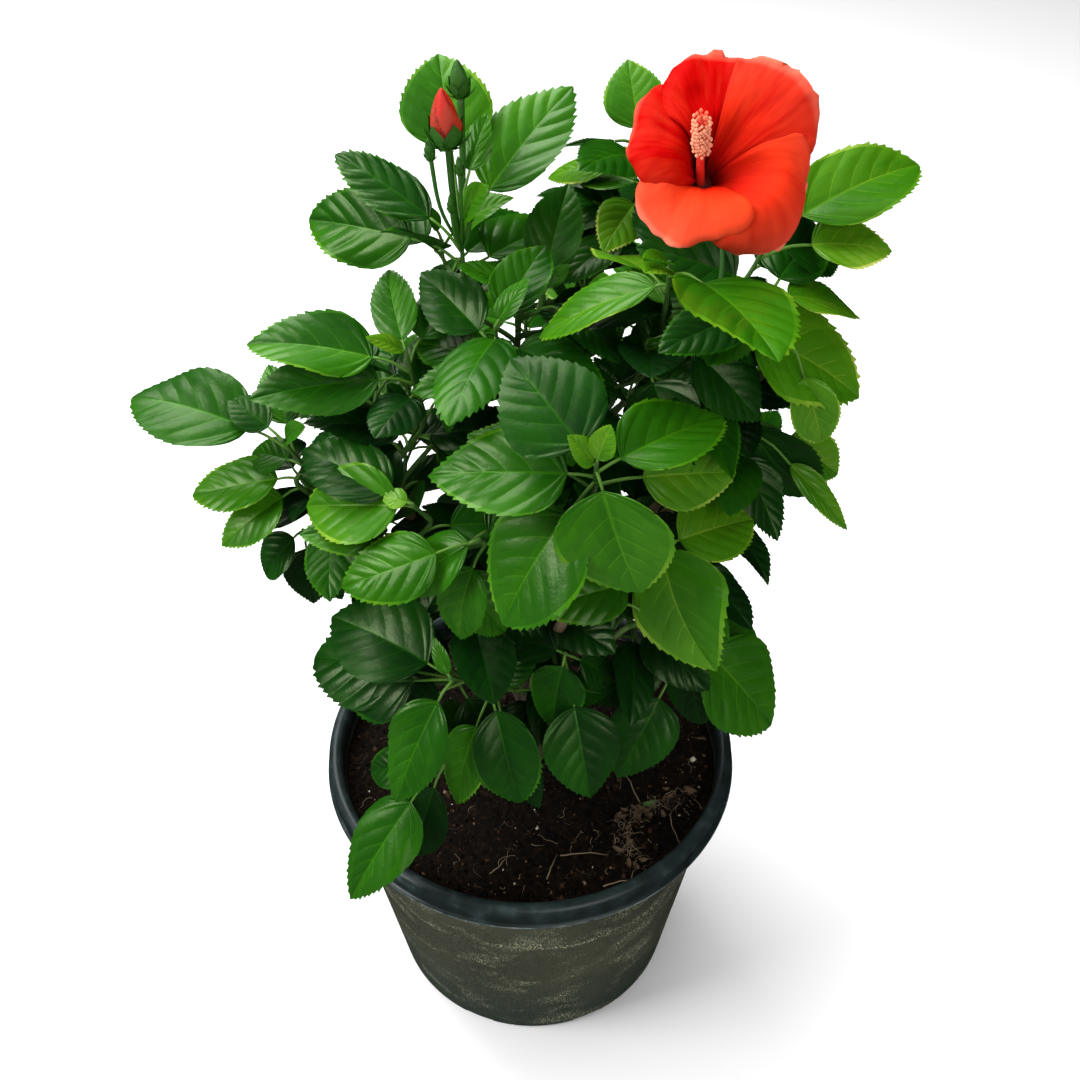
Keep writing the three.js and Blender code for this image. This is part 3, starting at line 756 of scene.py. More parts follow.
# Each petal is waved at its edge, folded from its middle on, creased and crumpled from the bud, laps over
# its neighbour, and rolls back at the very edge.
petal_heap = Heap()
petal_marks, petal_painted_light = [], []
for k, (turn, half_turn, folds, painted_light, _, edge) in enumerate(PETALS):
    u, v = np.meshgrid(np.linspace(-1, 1, PETAL_COLUMNS), np.linspace(0, 1, PETAL_ROWS))
    u, v = u.ravel(), v.ravel()
    end = np.interp(u, EDGE_AT, edge) + 0.01 * np.sin(u * 9 + k) + 0.007 * np.sin(u * 23 + 2 * k)
    share = v * end
    turns = turn + u * half_turn * (1 - 0.1 * share)
    radius, height = bell(turns, share)
    next_radius, next_height = bell(turns, share + 0.02)
    slope = np.stack([next_radius - radius, next_height - height])
    slope /= np.linalg.norm(slope, axis=0) + 1e-9
    inward, upward = -slope[1], slope[0]
    ruffle = share ** 3 * (1.0 * np.sin(u * 4.6 + k * 2.1) + 0.7 * np.sin(u * 10 + k * 4.4))
    ruffle += folds * np.clip(share - 0.3, 0, 1) * 2.4 * np.sin(u * 8 + k)
    creases = [noise.noise(Vector((a * 2.6 + 9 * k, b * 5, 0.4))) for a, b in zip(u, share)]
    crumples = [noise.noise(Vector((a * 6.5 + 5 * k, b * 11, 2.4))) for a, b in zip(u, share)]
    ruffle += (2.8 * np.array(creases) + 0.9 * np.array(crumples)) * share
    overlap = 2.8 * u * np.minimum(share * 3, 1) + 0.12 * np.sin(u * 40) * share - 2.0 * u ** 2 * share
    rolled = -3.0 * np.clip((v - 0.88) / 0.12, 0, 1) ** 2
    lift = ruffle + overlap + rolled
    points = bloom(np.radians(turns), radius + lift * inward, height + lift * upward)
    faces = []
    for i in range(PETAL_ROWS - 1):
        for j in range(PETAL_COLUMNS - 1):
            first = i * PETAL_COLUMNS + j
            faces.append((first, first + 1, first + PETAL_COLUMNS + 1, first + PETAL_COLUMNS))
    petal_heap.add(points * MM, faces, 0)
    petal_marks.append(np.stack([u * 0.5 + 0.5, share], axis=1))
    petal_painted_light.append(np.full(len(u), float(painted_light)))

# Petal: soft and thin, orange-red where it opens and crimson in the throat, with fine raised veins 1.8 mm
# apart that run to its edge, and streaks of deeper colour 5.5 mm wide. It darkens almost to black at the
# foot, partly its dark eye and partly painted shade deep in the funnel, and is paler where it rolls back.
# The deep and the pale reds are a shaded and a lit copy of the petal's red, blended by each petal's painted
# light.
PETAL_SPAN = 60 * MM
petal_red, surface = new_material("hibiscus_petal", "#d81a08", 0.6, Specular_IOR_Level=0.03)
petals = petal_heap.piece("petals", [petal_red])
painted_light_layer = petals.data.attributes.new("painted_light", "FLOAT", "POINT")
painted_light_layer.data.foreach_set("value", np.concatenate(petal_painted_light))
layer = petals.data.uv_layers.new(name="petal")
marks = np.concatenate(petal_marks)
corner_points = np.zeros(len(petals.data.loops), dtype=np.int32)
petals.data.loops.foreach_get("vertex_index", corner_points)
layer.data.foreach_set("uv", marks[corner_points].ravel())
spot = add_node(petal_red, "ShaderNodeUVMap", uv_map="petal").outputs["UV"]
split = add_node(petal_red, "ShaderNodeSeparateXYZ", [("Vector", spot)])
# The deep ramp is the painted-shade copy of the red and the pale ramp the painted-light copy.
deep = add_node(
    petal_red, "ShaderNodeValToRGB", [("Fac", split.outputs["Y"])],
    stops=[
        (0, "#1a0000"), (0.2, "#4c0000"), (0.34, "#860000"),
        (0.5, "#a40000"), (0.93, "#b00200"), (1, "#e8604a"),
    ],
)
pale = add_node(
    petal_red, "ShaderNodeValToRGB", [("Fac", split.outputs["Y"])],
    stops=[
        (0, "#1a0000"), (0.2, "#600200"), (0.36, "#c41a05"),
        (0.56, "#e83c18"), (0.92, "#ee5436"), (1, "#f68a70"),
    ],
)
# Each petal's painted light, from 0 for the shaded copy to 1 for the lit copy.
painted_light = add_node(petal_red, "ShaderNodeAttribute", attribute_name="painted_light").outputs["Fac"]
streaks = add_node(petal_red, "ShaderNodeMapping", [("Vector", spot)])
streaks.inputs["Scale"].default_value = (PETAL_SPAN * cells(5.455 * MM), PETAL_SPAN * cells(27.27 * MM), 1)
blotches = add_node(
    petal_red, "ShaderNodeTexNoise", [("Vector", streaks.outputs["Vector"])], Scale=1, Detail=5,
)
uneven = add_node(
    petal_red, "ShaderNodeMapRange", [("Value", blotches.outputs["Fac"])],
    From_Min=0.25, From_Max=0.75, To_Min=-0.2, To_Max=0.2,
)
# Each petal's painted light, made uneven by blotches of the petal's own colour.
mottling_and_painted_light = add_node(
    petal_red, "ShaderNodeMath", [(0, painted_light), (1, uneven.outputs["Result"])],
    operation="ADD", use_clamp=True,
)
petal_colour = add_node(
    petal_red, "ShaderNodeMix",
    [("Factor", mottling_and_painted_light.outputs["Value"]), ("A", deep.outputs["Color"]), ("B", pale.outputs["Color"])],
    data_type="RGBA",
)
link(petal_red, petal_colour.outputs["Result"], surface.inputs["Base Color"])
stretch = add_node(petal_red, "ShaderNodeMapping", [("Vector", spot)])
stretch.inputs["Scale"].default_value = (PETAL_SPAN * cells(1.765 * MM), PETAL_SPAN * cells(24 * MM), 1)
veins = add_node(
    petal_red, "ShaderNodeTexNoise", [("Vector", stretch.outputs["Vector"])], Scale=1, Detail=3,
)
relief = add_node(
    petal_red, "ShaderNodeBump", [("Height", veins.outputs["Fac"])], Strength=0.35, Distance=1 * MM,
)
link(petal_red, relief.outputs["Normal"], surface.inputs["Normal"])
thickness = petals.modifiers.new("thickness", "SOLIDIFY")
thickness.thickness = 0.35 * MM
bpy.context.view_layer.objects.active = petals
bpy.ops.object.select_all(action="DESELECT")
petals.select_set(True)
bpy.ops.object.modifier_apply(modifier=thickness.name)
settle(petals, "petals", "flower")


def compass(turn, rise=0.0):
    """The heading at a compass turn and a rise in degrees."""
    turn, rise = math.radians(turn), math.radians(rise)
    return np.array([math.cos(turn) * math.cos(rise), math.sin(turn) * math.cos(rise), math.sin(rise)])


# The column leans a little out of the bloom's axis and tapers. Its upper third is ringed by stamens, each
# a thread with a pollen grain, set by the golden angle, and five stigmas branch from its tip.
column_heap = Heap()
COLUMN_LENGTH = 57
COLUMN_STEPS = 16
column_axis = unit(BLOOM_AXIS - BLOOM_RIGHT * 0.22 - BLOOM_UP * 0.08)
column_path = []
for t in np.linspace(-0.16, 1, COLUMN_STEPS):
    column_path.append(THROAT + column_axis * COLUMN_LENGTH * t + BLOOM_UP * 1.5 * t * t)
column_girths = np.linspace(3.8, 1.3, COLUMN_STEPS) ** 0.8
column_heap.add(*tube(np.array(column_path) * MM, column_girths * MM, 12), 0)
BALL = [compass(t, r) for r in (-60, 0, 60) for t in range(0, 360, 60)]
BALL_FACES = [(i, (i + 1) % 6, 6 + (i + 1) % 6, 6 + i) for i in range(6)]
BALL_FACES += [(6 + i, 6 + (i + 1) % 6, 12 + (i + 1) % 6, 12 + i) for i in range(6)]
BALL_FACES += [tuple(range(5, -1, -1)), tuple(range(12, 18))]


def add_ball(heap, centre, radius, slot):
    heap.add((np.array(BALL) * radius + centre) * MM, BALL_FACES, slot)


# The petals join in a cup at their feet. Its (height, radius) points go up outside and down inside.
THROAT_CUP = np.array([
    (-12, 1.5), (-9, 3.2), (-4, 4.8), (1, 6.6), (6, 8.2), (6.5, 7.8), (1, 6), (-4, 4), (-8, 1),
])
cup_path = THROAT + np.outer(THROAT_CUP[:, 0], BLOOM_AXIS)
column_heap.add(*tube(cup_path * MM, THROAT_CUP[:, 1] * MM, 24), 3)
STAMENS = 150
GOLDEN_ANGLE = 137.5
for i in range(STAMENS):
    share = 0.62 + 0.35 * i / (STAMENS - 1)
    spot, _ = along(np.array(column_path), share)
    turn = math.radians(GOLDEN_ANGLE * i)
    way = unit(BLOOM_RIGHT * math.cos(turn) + BLOOM_UP * math.sin(turn) + column_axis * 0.35)
    reach = chance.uniform(3.2, 5.2)
    tip = spot + way * reach
    column_heap.add(*tube(np.array([spot, tip]) * MM, [0.28 * MM, 0.2 * MM], 4), 1)
    add_ball(column_heap, tip, chance.uniform(0.8, 1.15), 2)
for i in range(5):
    turn = math.radians(72 * i + 20)
    way = unit(BLOOM_RIGHT * math.cos(turn) + BLOOM_UP * math.sin(turn) + column_axis * 1.6)
    tip = column_path[-1] + way * 4.5
    column_heap.add(*tube(np.array([column_path[-1], tip]) * MM, [0.5 * MM, 0.4 * MM], 5), 1)
    add_ball(column_heap, tip, 1.1, 1)
# The column and its threads are soft and moist, and the pollen on them is dry and powdery.
COLUMN_FINISHES = [
    ("red_column", "#e02818", 0.6),
    ("stamen_thread", "#f06a48", 0.6),
    ("pollen_grain", "#ee9a78", 0.9),
    ("crimson_petal_foot", "#4c0000", 0.7),
]
column_materials = [grained(*finish, 0.833 * MM, 0.3 * MM) for finish in COLUMN_FINISHES]
column = column_heap.piece("column_and_stamens", column_materials)
settle(column, "petals")

# ---- Shoots and leaves ----
# Each mass of the crown is a few green shoots. Leaves stand round a shoot in turn, the young ones small
# and upright at its tip, the old ones large and drooping. A blade is broad, toothed and glossy, swells
# between its veins, and hangs on a thin stalk.

# For each shoot, in millimetres and degrees: its tip, the compass turn and the tilt of its lean, the tint
# of its leaves (0 dark to 5 bright), the leaves that stand out one by one, how many more the rule adds
# below them, and the length of those. A leaf that stands out is its compass turn, its rise, its stalk,
# its blade, its tint, the breadth of the blade as a share of its length, and how far it rolls to its
# side, if it does.
# Tints follow how light each leaf looks: the dark tints of the shoots deep in the crown are painted shade,
# and the brightest tints on some leaves are painted sheen.
SHOOTS = {
    "leaves_bud_top": [
        ((-36, 30, 673), 270, 6, 3, [
            (60, 57, 28, 34, 3, 0.6), (312, 64, 8, 34, 4, 0.7), (99, 40, 48, 63, 3.4, 0.95, 2),
            (43, 39, 34, 80, 3, 0.68), (150, 27, 28, 72, 1, 0.46), (155, -1, 36, 82, 2.6, 0.62, 24),
            (39, 5, 21, 72, 3, 0.72), (111, -17, 20, 44, 2, 0.6), (114, -20, 24, 50, 1, 0.62),
        ], 2, 56),
        ((-50, 62, 640), 90, 16, 2, [], 5, 62),
    ],
    "leaves_back_top": [
        ((73, 84, 690), 100, 8, 3, [
            (176, 0, 18, 34, 2, 0.16), (103, 53, 16, 47, 4, 0.85), (238, 20, 16, 56, 2, 0.75),
            (149, -5, 18, 56, 5, 0.5), (135, 5, 6, 52, 4, 0.8), (244, -6, 12, 50, 5, 0.7),
            (150, 0, 16, 64, 2, 0.6), (165, -21, 22, 58, 1, 0.6),
        ], 2, 56),
        ((52, 92, 650), 80, 20, 1, [], 5, 60),
    ],
    "leaves_flower": [
        ((80, -40, 682), 265, 14, 4, [
            (232, 49, 4, 26, 4, 0.6), (236, 47, 4, 32, 5, 0.6), (295, 23, 41, 76, 3.4, 0.9, 33),
            (176, -23, 7, 79, 4, 0.46, -14), (113, -16, 23, 56, 5, 0.8, -24), (109, 8, 3, 40, 4, 0.4),
            (10, -20, 20, 78, 1, 0.7), (330, -30, 20, 60, 1, 0.8),
        ], 2, 60),
        ((92, 4, 656), 60, 14, 1, [], 6, 60),
    ],
    "leaves_right_top": [
        ((141, 0, 677), 0, 20, 3, [
            (217, 51, 15, 40, 3, 0.6), (27, 38, 24, 82, 4.2, 0.66), (26, -2, 14, 56, 1, 0.74),
            (357, 26, 31, 46, 5, 1.0), (40, 8, 6, 58, 1, 0.7), (190, 5, 8, 62, 1, 0.8),
            (250, -5, 10, 60, 2, 0.8),
        ], 2, 62),
        ((138, -25, 650), 330, 20, 3, [
            (22, -3, 14, 56, 5, 0.66), (60, 10, 20, 62, 2, 0.66), (327, -43, 48, 48, 5, 0.67, -30),
            (215, 0, 20, 56, 1, 0.7), (346, -3, 3, 80, 4.5, 0.82),
        ], 3, 62),
        ((116, 10, 640), 20, 14, 1, [], 6, 60),
    ],
    "leaves_left": [
        ((-71, 0, 600), 200, 8, 3, [
            (215, 52, 4, 27, 5, 0.5), (104, 31, 12, 52, 3, 0.6), (62, 21, 18, 48, 2, 0.66),
            (174, 21, 26, 80, 3, 0.62), (191, 11, 23, 82, 2, 0.6), (249, 17, 10, 44, 0, 0.8),
            (84, 21, 14, 52, 1, 0.66), (47, 11, 25, 66, 3, 0.86),
        ], 3, 56),
        ((-100, 36, 560), 150, 26, 1, [], 5, 56),
        ((-72, 8, 548), 200, 20, 0, [], 7, 60),
        ((-46, 26, 546), 120, 14, 0, [], 7, 58),
        ((-84, 28, 510), 150, 20, 0, [], 6, 56),
    ],
    "leaves_far_left": [
        ((-156, 5, 530), 190, 24, 3, [
            (138, 43, 13, 34, 1, 0.8), (331, 42, 4, 32, 3, 0.6), (160, 38, 30, 88, 2.2, 0.7),
            (92, 27, 24, 52, 3, 0.6), (153, 13, 12, 36, 3, 0.8),
        ], 1, 48),
        ((-150, 8, 496), 190, 36, 3, [
            (182, 28, 15, 66, 4, 0.72), (122, 7, 16, 62, 0, 0.6), (195, 7, 20, 58, 4, 0.7),
        ], 2, 50),
        ((-138, 22, 476), 170, 30, 0, [], 5, 54),
    ],
    "leaves_far_left_low": [
        ((-154, 10, 448), 220, 44, 1, [
            (208, -1, 9, 42, 1, 0.8), (233, -33, 12, 48, 0, 0.8), (264, -27, 16, 36, 0, 0.7),
        ], 3, 48),
        ((-98, 16, 474), 160, 20, 0, [], 6, 54),
    ],
    "leaves_centre": [
        ((-16, -14, 626), 265, 16, 3, [
            (40, 50, 6, 30, 3, 0.6), (60, 26, 12, 52, 2, 0.7), (252, 25, 3, 81, 2.4, 0.56, -13),
            (330, 4, 16, 60, 2, 0.7), (130, 12, 18, 60, 1, 0.7),
        ], 3, 66),
        ((72, -14, 612), 250, 14, 1, [
            (60, 40, 6, 30, 2, 0.7), (273, 39, 21, 48, 0, 0.86, 21), (150, 10, 18, 60, 1, 0.7),
            (280, -6, 18, 64, 1, 0.72), (305, 4, 37, 62, 2, 0.9, 40),
        ], 3, 62),
        ((22, -34, 606), 250, 24, 2, [], 6, 62),
        ((54, 2, 566), 250, 10, 0, [], 7, 60),
        ((20, 16, 532), 90, 10, 0, [], 7, 58),
    ],
    "leaves_centre_back": [
        ((12, 20, 628), 60, 12, 2, [], 6, 62),
        ((40, 56, 618), 70, 20, 1, [], 5, 58),
        ((66, 26, 612), 60, 10, 0, [], 6, 58),
        ((-34, 60, 600), 130, 20, 1, [], 5, 60),
    ],
    "leaves_front": [
        ((39, -128, 615), 268, 38, 4, [
            (71, 61, 3, 24, 5, 0.7), (133, 58, 3, 25, 5, 0.7), (119, -6, 14, 71, 1, 0.9),
            (283, -32, 12, 70, 3.6, 1.0, -24), (36, -14, 16, 76, 3.3, 0.66),
            (174, -5, 16, 84, 2.5, 0.66), (236, -21, 24, 80, 3, 0.84),
            (16, -21, 28, 67, 4.6, 0.66, -20), (143, -17, 33, 58, 3, 0.84),
        ], 0, 66),
        ((0, -92, 560), 235, 36, 1, [], 5, 62),
    ],
    "leaves_front_right": [
        ((83, -88, 520), 300, 42, 4, [
            (26, 6, 10, 60, 5, 0.76), (291, -1, 3, 81, 4, 1.11, -50),
        ], 3, 56),
        ((68, -34, 500), 300, 20, 0, [], 7, 60),
        ((104, -22, 464), 320, 26, 0, [], 6, 56),
    ],
    "leaves_right": [
        ((129, -14, 562), 330, 28, 2, [
            (337, -24, 13, 75, 1, 0.76, -55), (349, -13, 42, 55, 4.5, 0.7, -15),
            (339, -13, 49, 63, 4.5, 0.3), (310, -16, 25, 56, 1, 0.64),
        ], 2, 56),
        ((118, 8, 566), 340, 20, 0, [], 7, 60),
        ((84, 12, 508), 330, 20, 0, [], 7, 58),
        ((128, 4, 490), 340, 40, 1, [], 5, 56),
    ],
    "leaves_front_left": [
        ((-68, -62, 532), 220, 30, 3, [
            (157, 21, 4, 20, 5, 0.7), (171, 8, 11, 70, 4, 0.78), (147, 21, 22, 72, 1, 0.62),
            (128, 9, 24, 56, 0, 0.7), (129, -25, 16, 42, 2, 0.9),
        ], 2, 56),
        ((-27, -84, 523), 230, 40, 3, [
            (199, -6, 8, 65, 3, 0.62), (196, 8, 30, 70, 3, 0.66), (227, -23, 18, 58, 3, 0.7),
        ], 3, 62),
    ],
    "leaves_low_left": [
        ((-49, -104, 422), 235, 44, 1, [
            (90, 27, 4, 26, 3, 0.5), (230, -6, 18, 78, 2.3, 0.58), (139, 10, 22, 82, 1, 0.8, -15),
            (180, -6, 34, 76, 1, 0.74), (200, -24, 24, 60, 1, 0.7), (171, 3, 44, 86, 1, 0.8),
        ], 2, 60),
        ((-84, -50, 400), 200, 44, 0, [], 5, 62),
        ((-40, -50, 440), 230, 30, 0, [], 7, 62),
    ],
    "leaves_over_rim": [
        ((-58, -112, 346), 232, 60, 2, [
            (227, 16, 34, 88, 2.4, 0.58), (233, 4, 20, 62, 0, 0.62), (195, 6, 26, 46, 1, 0.7),
        ], 1, 40),
    ],
    "leaves_low_front": [
        ((25, -86, 425), 275, 42, 2, [
            (263, -27, 9, 52, 1.4, 0.74), (155, -14, 6, 42, 0, 0.8), (332, -38, 12, 42, 1, 0.8),
            (276, -15, 36, 68, 1, 0.8),
        ], 2, 52),
        ((-24, -92, 398), 262, 44, 1, [
            (275, -12, 15, 74, 1.4, 0.66), (52, 19, 7, 36, 1, 0.7), (253, -11, 28, 64, 3, 0.56),
            (275, -12, 40, 54, 0, 0.5),
        ], 2, 50),
        ((12, -50, 446), 270, 26, 0, [], 7, 60),
        ((-26, -10, 468), 230, 20, 0, [], 6, 58),
        ((-6, -52, 396), 250, 34, 0, [], 7, 58),
    ],
    "leaves_low_right": [
        ((109, -62, 414), 315, 44, 2, [
            (328, -4, 14, 86, 3.2, 0.84), (12, -11, 18, 62, 2.8, 0.8), (308, -24, 12, 58, 0, 0.66),
            (273, -27, 42, 64, 1, 0.8),
        ], 2, 56),
        ((112, -20, 440), 350, 40, 1, [], 5, 56),
        ((70, -56, 430), 300, 30, 0, [], 7, 60),
    ],
    "leaves_back_left": [
        ((-84, 90, 520), 120, 24, 2, [], 7, 74),
        ((-122, 92, 470), 150, 40, 1, [], 6, 70),
        ((-76, 124, 450), 100, 44, 2, [], 6, 70),
    ],
    "leaves_back": [
        ((0, 128, 548), 90, 24, 3, [], 7, 68),
        ((28, 146, 490), 80, 44, 2, [], 6, 60),
        ((-26, 142, 490), 100, 42, 1, [], 6, 62),
    ],
    "leaves_back_right": [
        ((88, 110, 560), 50, 24, 3, [], 7, 72),
        ((130, 112, 506), 30, 42, 2, [], 6, 66),
        ((84, 140, 480), 70, 44, 1, [], 6, 68),
    ],
    "leaves_low_back": [
        ((-4, 110, 400), 90, 44, 1, [], 6, 68),
        ((-56, 104, 366), 120, 50, 0, [], 5, 64),
        ((50, 106, 366), 60, 50, 0, [], 5, 66),
    ],
}
# Where each side vein leaves the midrib and where it meets the edge, as shares of the blade's length.
VEINS = [(0.012, 0.2), (0.03, 0.42), (0.22, 0.575), (0.4, 0.7), (0.56, 0.805), (0.71, 0.9)]
BETWEEN = [0.13, 0.34, 0.5, 0.63, 0.83]  # rows between two veins
BETWEEN_TEETH = [-0.8, 0.1, 0.9, -0.8, 0.1]  # how far the edge stands out at each of those rows
ACROSS = [0, 0.028, 0.14, 0.32, 0.53, 0.74, 0.92, 1]  # columns from the midrib to the edge
VEIN_HALF = 0.0052  # half a vein's width as a share of the blade's length


def blade_pattern():
    """The grid of every blade, and for each face whether it is a vein, where it lies and on which side."""
    rows = [(0, 0, 0, 0, 0)]
    knots = [(0, 0)] + VEINS + [(1, 1)]
    kinds = []
    for k, (near, far) in enumerate(zip(knots, knots[1:])):
        toothed = min(k / 1.5, 1)
        for t, tooth in zip(BETWEEN, BETWEEN_TEETH):
            middle = near[0] + (far[0] - near[0]) * t
            edge = near[1] + (far[1] - near[1]) * t
            rows.append((middle, edge, math.sin(math.pi * t), tooth * toothed, 0))
            kinds.append("blade")
        kinds.append("blade")
        if far == (1, 1):
            rows.append((1, 1, 0, 0, 0))
        else:
            rows.append((far[0] - VEIN_HALF, far[1] - VEIN_HALF, 0, toothed, -1))
            rows.append((far[0] + VEIN_HALF, far[1] + VEIN_HALF, 0, toothed, 1))
            kinds.append("vein")
    columns = [-c for c in ACROSS[:0:-1]] + ACROSS
    grid = np.array([[(c,) + row for c in columns] for row in rows])
    faces, parts = [], []
    wide = len(columns)
    for r, kind in enumerate(kinds):
        for c in range(wide - 1):
            inner = min(abs(columns[c]), abs(columns[c + 1]))
            outer = max(abs(columns[c]), abs(columns[c + 1]))
            faces.append((r * wide + c, r * wide + c + 1, (r + 1) * wide + c + 1, (r + 1) * wide + c))
            is_vein = outer <= ACROSS[1] or (kind == "vein" and inner < 0.5)
            place = (rows[r][1] + rows[r + 1][1]) / 2
            parts.append((is_vein, place, outer, 1 if c >= wide // 2 else -1))
    return grid.reshape(-1, 6), faces, np.array(parts, dtype=float).T


PATTERN, BLADE_FACES, (FACE_IS_VEIN, FACE_PLACE, FACE_REACH, FACE_SIDE) = blade_pattern()
SAMPLED = np.isin(np.abs(PATTERN[:, 0]), (0, ACROSS[3], ACROSS[5])) & (PATTERN[:, 3] > 0.85)


def blade_points(length, ratio, powers, fold, bend, curl, wave, phase, swell, sickle, twist, teeth):
    """A blade's points in millimetres: its foot at the origin, its midrib along +Y, its upper side up."""
    column, middle, edge, bulge, tooth, rim = PATTERN.T
    reach = np.abs(column)
    side = np.sign(column)
    base_power, point_power = powers
    peak = base_power / (base_power + point_power)
    top = peak ** base_power * (1 - peak) ** point_power
    outline = edge ** base_power * (1 - edge) ** point_power / top
    teeth = teeth * (1 + 0.35 * np.sin(edge * 61 + phase) + 0.25 * np.sin(edge * 37 + side + 2 * phase))
    half = length * ratio / 2 * np.maximum(outline, 0.012)
    tooth_size = teeth * tooth * (outline > 0.1) * (reach > 0.95)
    strip = (1 - reach * 0.7) * rim * VEIN_HALF * length - rim * VEIN_HALF * length
    control_y = length * (middle + 0.36 * (edge - middle))
    x = 2 * reach * (1 - reach) * half * 0.58 + reach ** 2 * (half + tooth_size * 0.8)
    y = (1 - reach) ** 2 * length * middle + 2 * reach * (1 - reach) * control_y
    y += reach ** 2 * (length * edge + tooth_size) + strip
    width = np.clip(x / (length * ratio / 2), 0, 1.2)
    share = np.clip(y / length, 0, 1.05)
    z = swell * bulge * reach ** 0.6 * (1 - reach ** 4)
    z += x * math.sin(fold) * (1 - 0.6 * share)
    z -= curl * width ** 2 * length * 0.1
    z += wave * 1.2 * width * np.sin(4.4 * share + phase)
    z += wave * 0.6 * width ** 2 * np.sin(edge * 10 + 2 * phase + side)
    z += x * side * math.sin(twist) * share
    x = x * math.cos(fold) * side + sickle * length * share ** 2
    heading = bend * share ** 1.3
    fine = np.linspace(0, 1.05, 60)
    run = bend * fine[:-1] ** 1.3
    forward = np.interp(share, fine, np.concatenate([[0], np.cumsum(np.cos(run) * np.diff(fine))])) * length
    drop = np.interp(share, fine, np.concatenate([[0], np.cumsum(np.sin(run) * np.diff(fine))])) * length
    return np.stack([x, forward + z * np.sin(heading), z * np.cos(heading) - drop], axis=1)


# Blade greens from the darkest, which serve as painted shade on old leaves deep in the crown, to the
# youngest, and on to the yellow of an ageing edge. A leaf's tint names its middle, its veins are lighter,
# and it pales a little to its tip and edge.
LEAF_GREENS = [
    "#082408", "#0a2c09", "#0d3608", "#114006", "#174a05", "#205604",
    "#296205", "#346c06", "#417709", "#50820f", "#668f1d", "#83a034", "#a8b64e",
]
GREEN_STEPS = 25
GREENS_PER_TINT = 3.1
# A waxy skin over a thin blade gives a soft gloss. The relief is the net of small veins, 2 mm wide, on a
# skin that puckers every 14 mm, so that the gloss breaks up. Every second green lies halfway between two.
leaf_materials = []
for number in range(GREEN_STEPS):
    green = LEAF_GREENS[number // 2]
    gloss = 0.28 + 0.008 * number
    name = f"hibiscus_leaf_green_{number:02d}"
    material, surface = new_material(name, green, 0.33, Specular_IOR_Level=gloss)
    if number % 2:
        darker, lighter = linear(green), linear(LEAF_GREENS[number // 2 + 1])
        surface.inputs["Base Color"].default_value = [(d + p) / 2 for d, p in zip(darker, lighter)]
    surface.inputs["Specular Tint"].default_value = (0.8, 1, 0.55, 1)
    place = add_node(material, "ShaderNodeTexCoord").outputs["Object"]
    puckers = add_node(
        material, "ShaderNodeTexNoise", [("Vector", place)], Scale=cells(14.29 * MM), Detail=2,
    )
    skin = add_node(
        material, "ShaderNodeBump", [("Height", puckers.outputs["Fac"])], Strength=0.26, Distance=2 * MM,
    )
    net = add_node(material, "ShaderNodeTexVoronoi", [("Vector", place)], Scale=cells(2.083 * MM))
    relief = add_node(
        material, "ShaderNodeBump",
        [("Height", net.outputs["Distance"]), ("Normal", skin.outputs["Normal"])],
        Strength=0.14, Distance=0.4 * MM,
    )
    link(material, relief.outputs["Normal"], surface.inputs["Normal"])
    leaf_materials.append(material)
# Stalks and green shoots have a thin skin with a fine down on it, so their gloss is soft.
STALK_FINISHES = [("leaf_stalk", "#4c7a1c", 0.5), ("green_shoot", "#335c14", 0.55)]
stalk_materials = [grained(*finish, 1.667 * MM, 0.5 * MM) for finish in STALK_FINISHES]

SKY = unit(np.array([0.05, -0.35, 1]))
FRONT_SKY = unit(np.array([-0.1, -0.6, 1]))  # where the leaves of the lit side turn their faces
NODES = [2, 6, 11, 18, 26, 35, 45, 56, 68, 80, 92, 104]  # how far each leaf is down the shoot
YOUNG_RISE = [66, 44, 30, 20, 12, 4, -4, -12, -18, -24, -28, -30]
YOUNG_SIZE = [0.34, 0.66, 0.9, 1, 1, 1, 0.96, 0.92, 0.88, 0.84, 0.8, 0.78]
BLADE_REACH = 85  # blades whose middles are further apart than this can't touch
ELBOW_ROOM = 6  # what a blade needs round each of its sample points, in millimetres
MOST_CROWDED = 8.5  # with more crowded points than this a blade finds no room
STALK_GIRTHS = (1.15, 0.85)
SHOOT_GIRTHS = (2.1, 1.2)

# The middle and the sample points of the bloom and of each leaf that has grown, in millimetres.
crown_samples = []
petal_points = np.concatenate(petal_heap.points) / MM
for sector in np.array_split(petal_points[::7], 2 * len(PETALS)):
    crown_samples.append((sector.mean(axis=0), sector))


def crowding(points):
    """How many of a blade's sample points have no elbow room from what has grown before."""
    middle = points.mean(axis=0)
    close = 0
    for other_middle, other in crown_samples:
        if np.linalg.norm(other_middle - middle) < BLADE_REACH:
            gaps = np.linalg.norm(points[:, None] - other[None], axis=2)
            close += int((gaps.min(axis=1) < ELBOW_ROOM).sum())
    return close


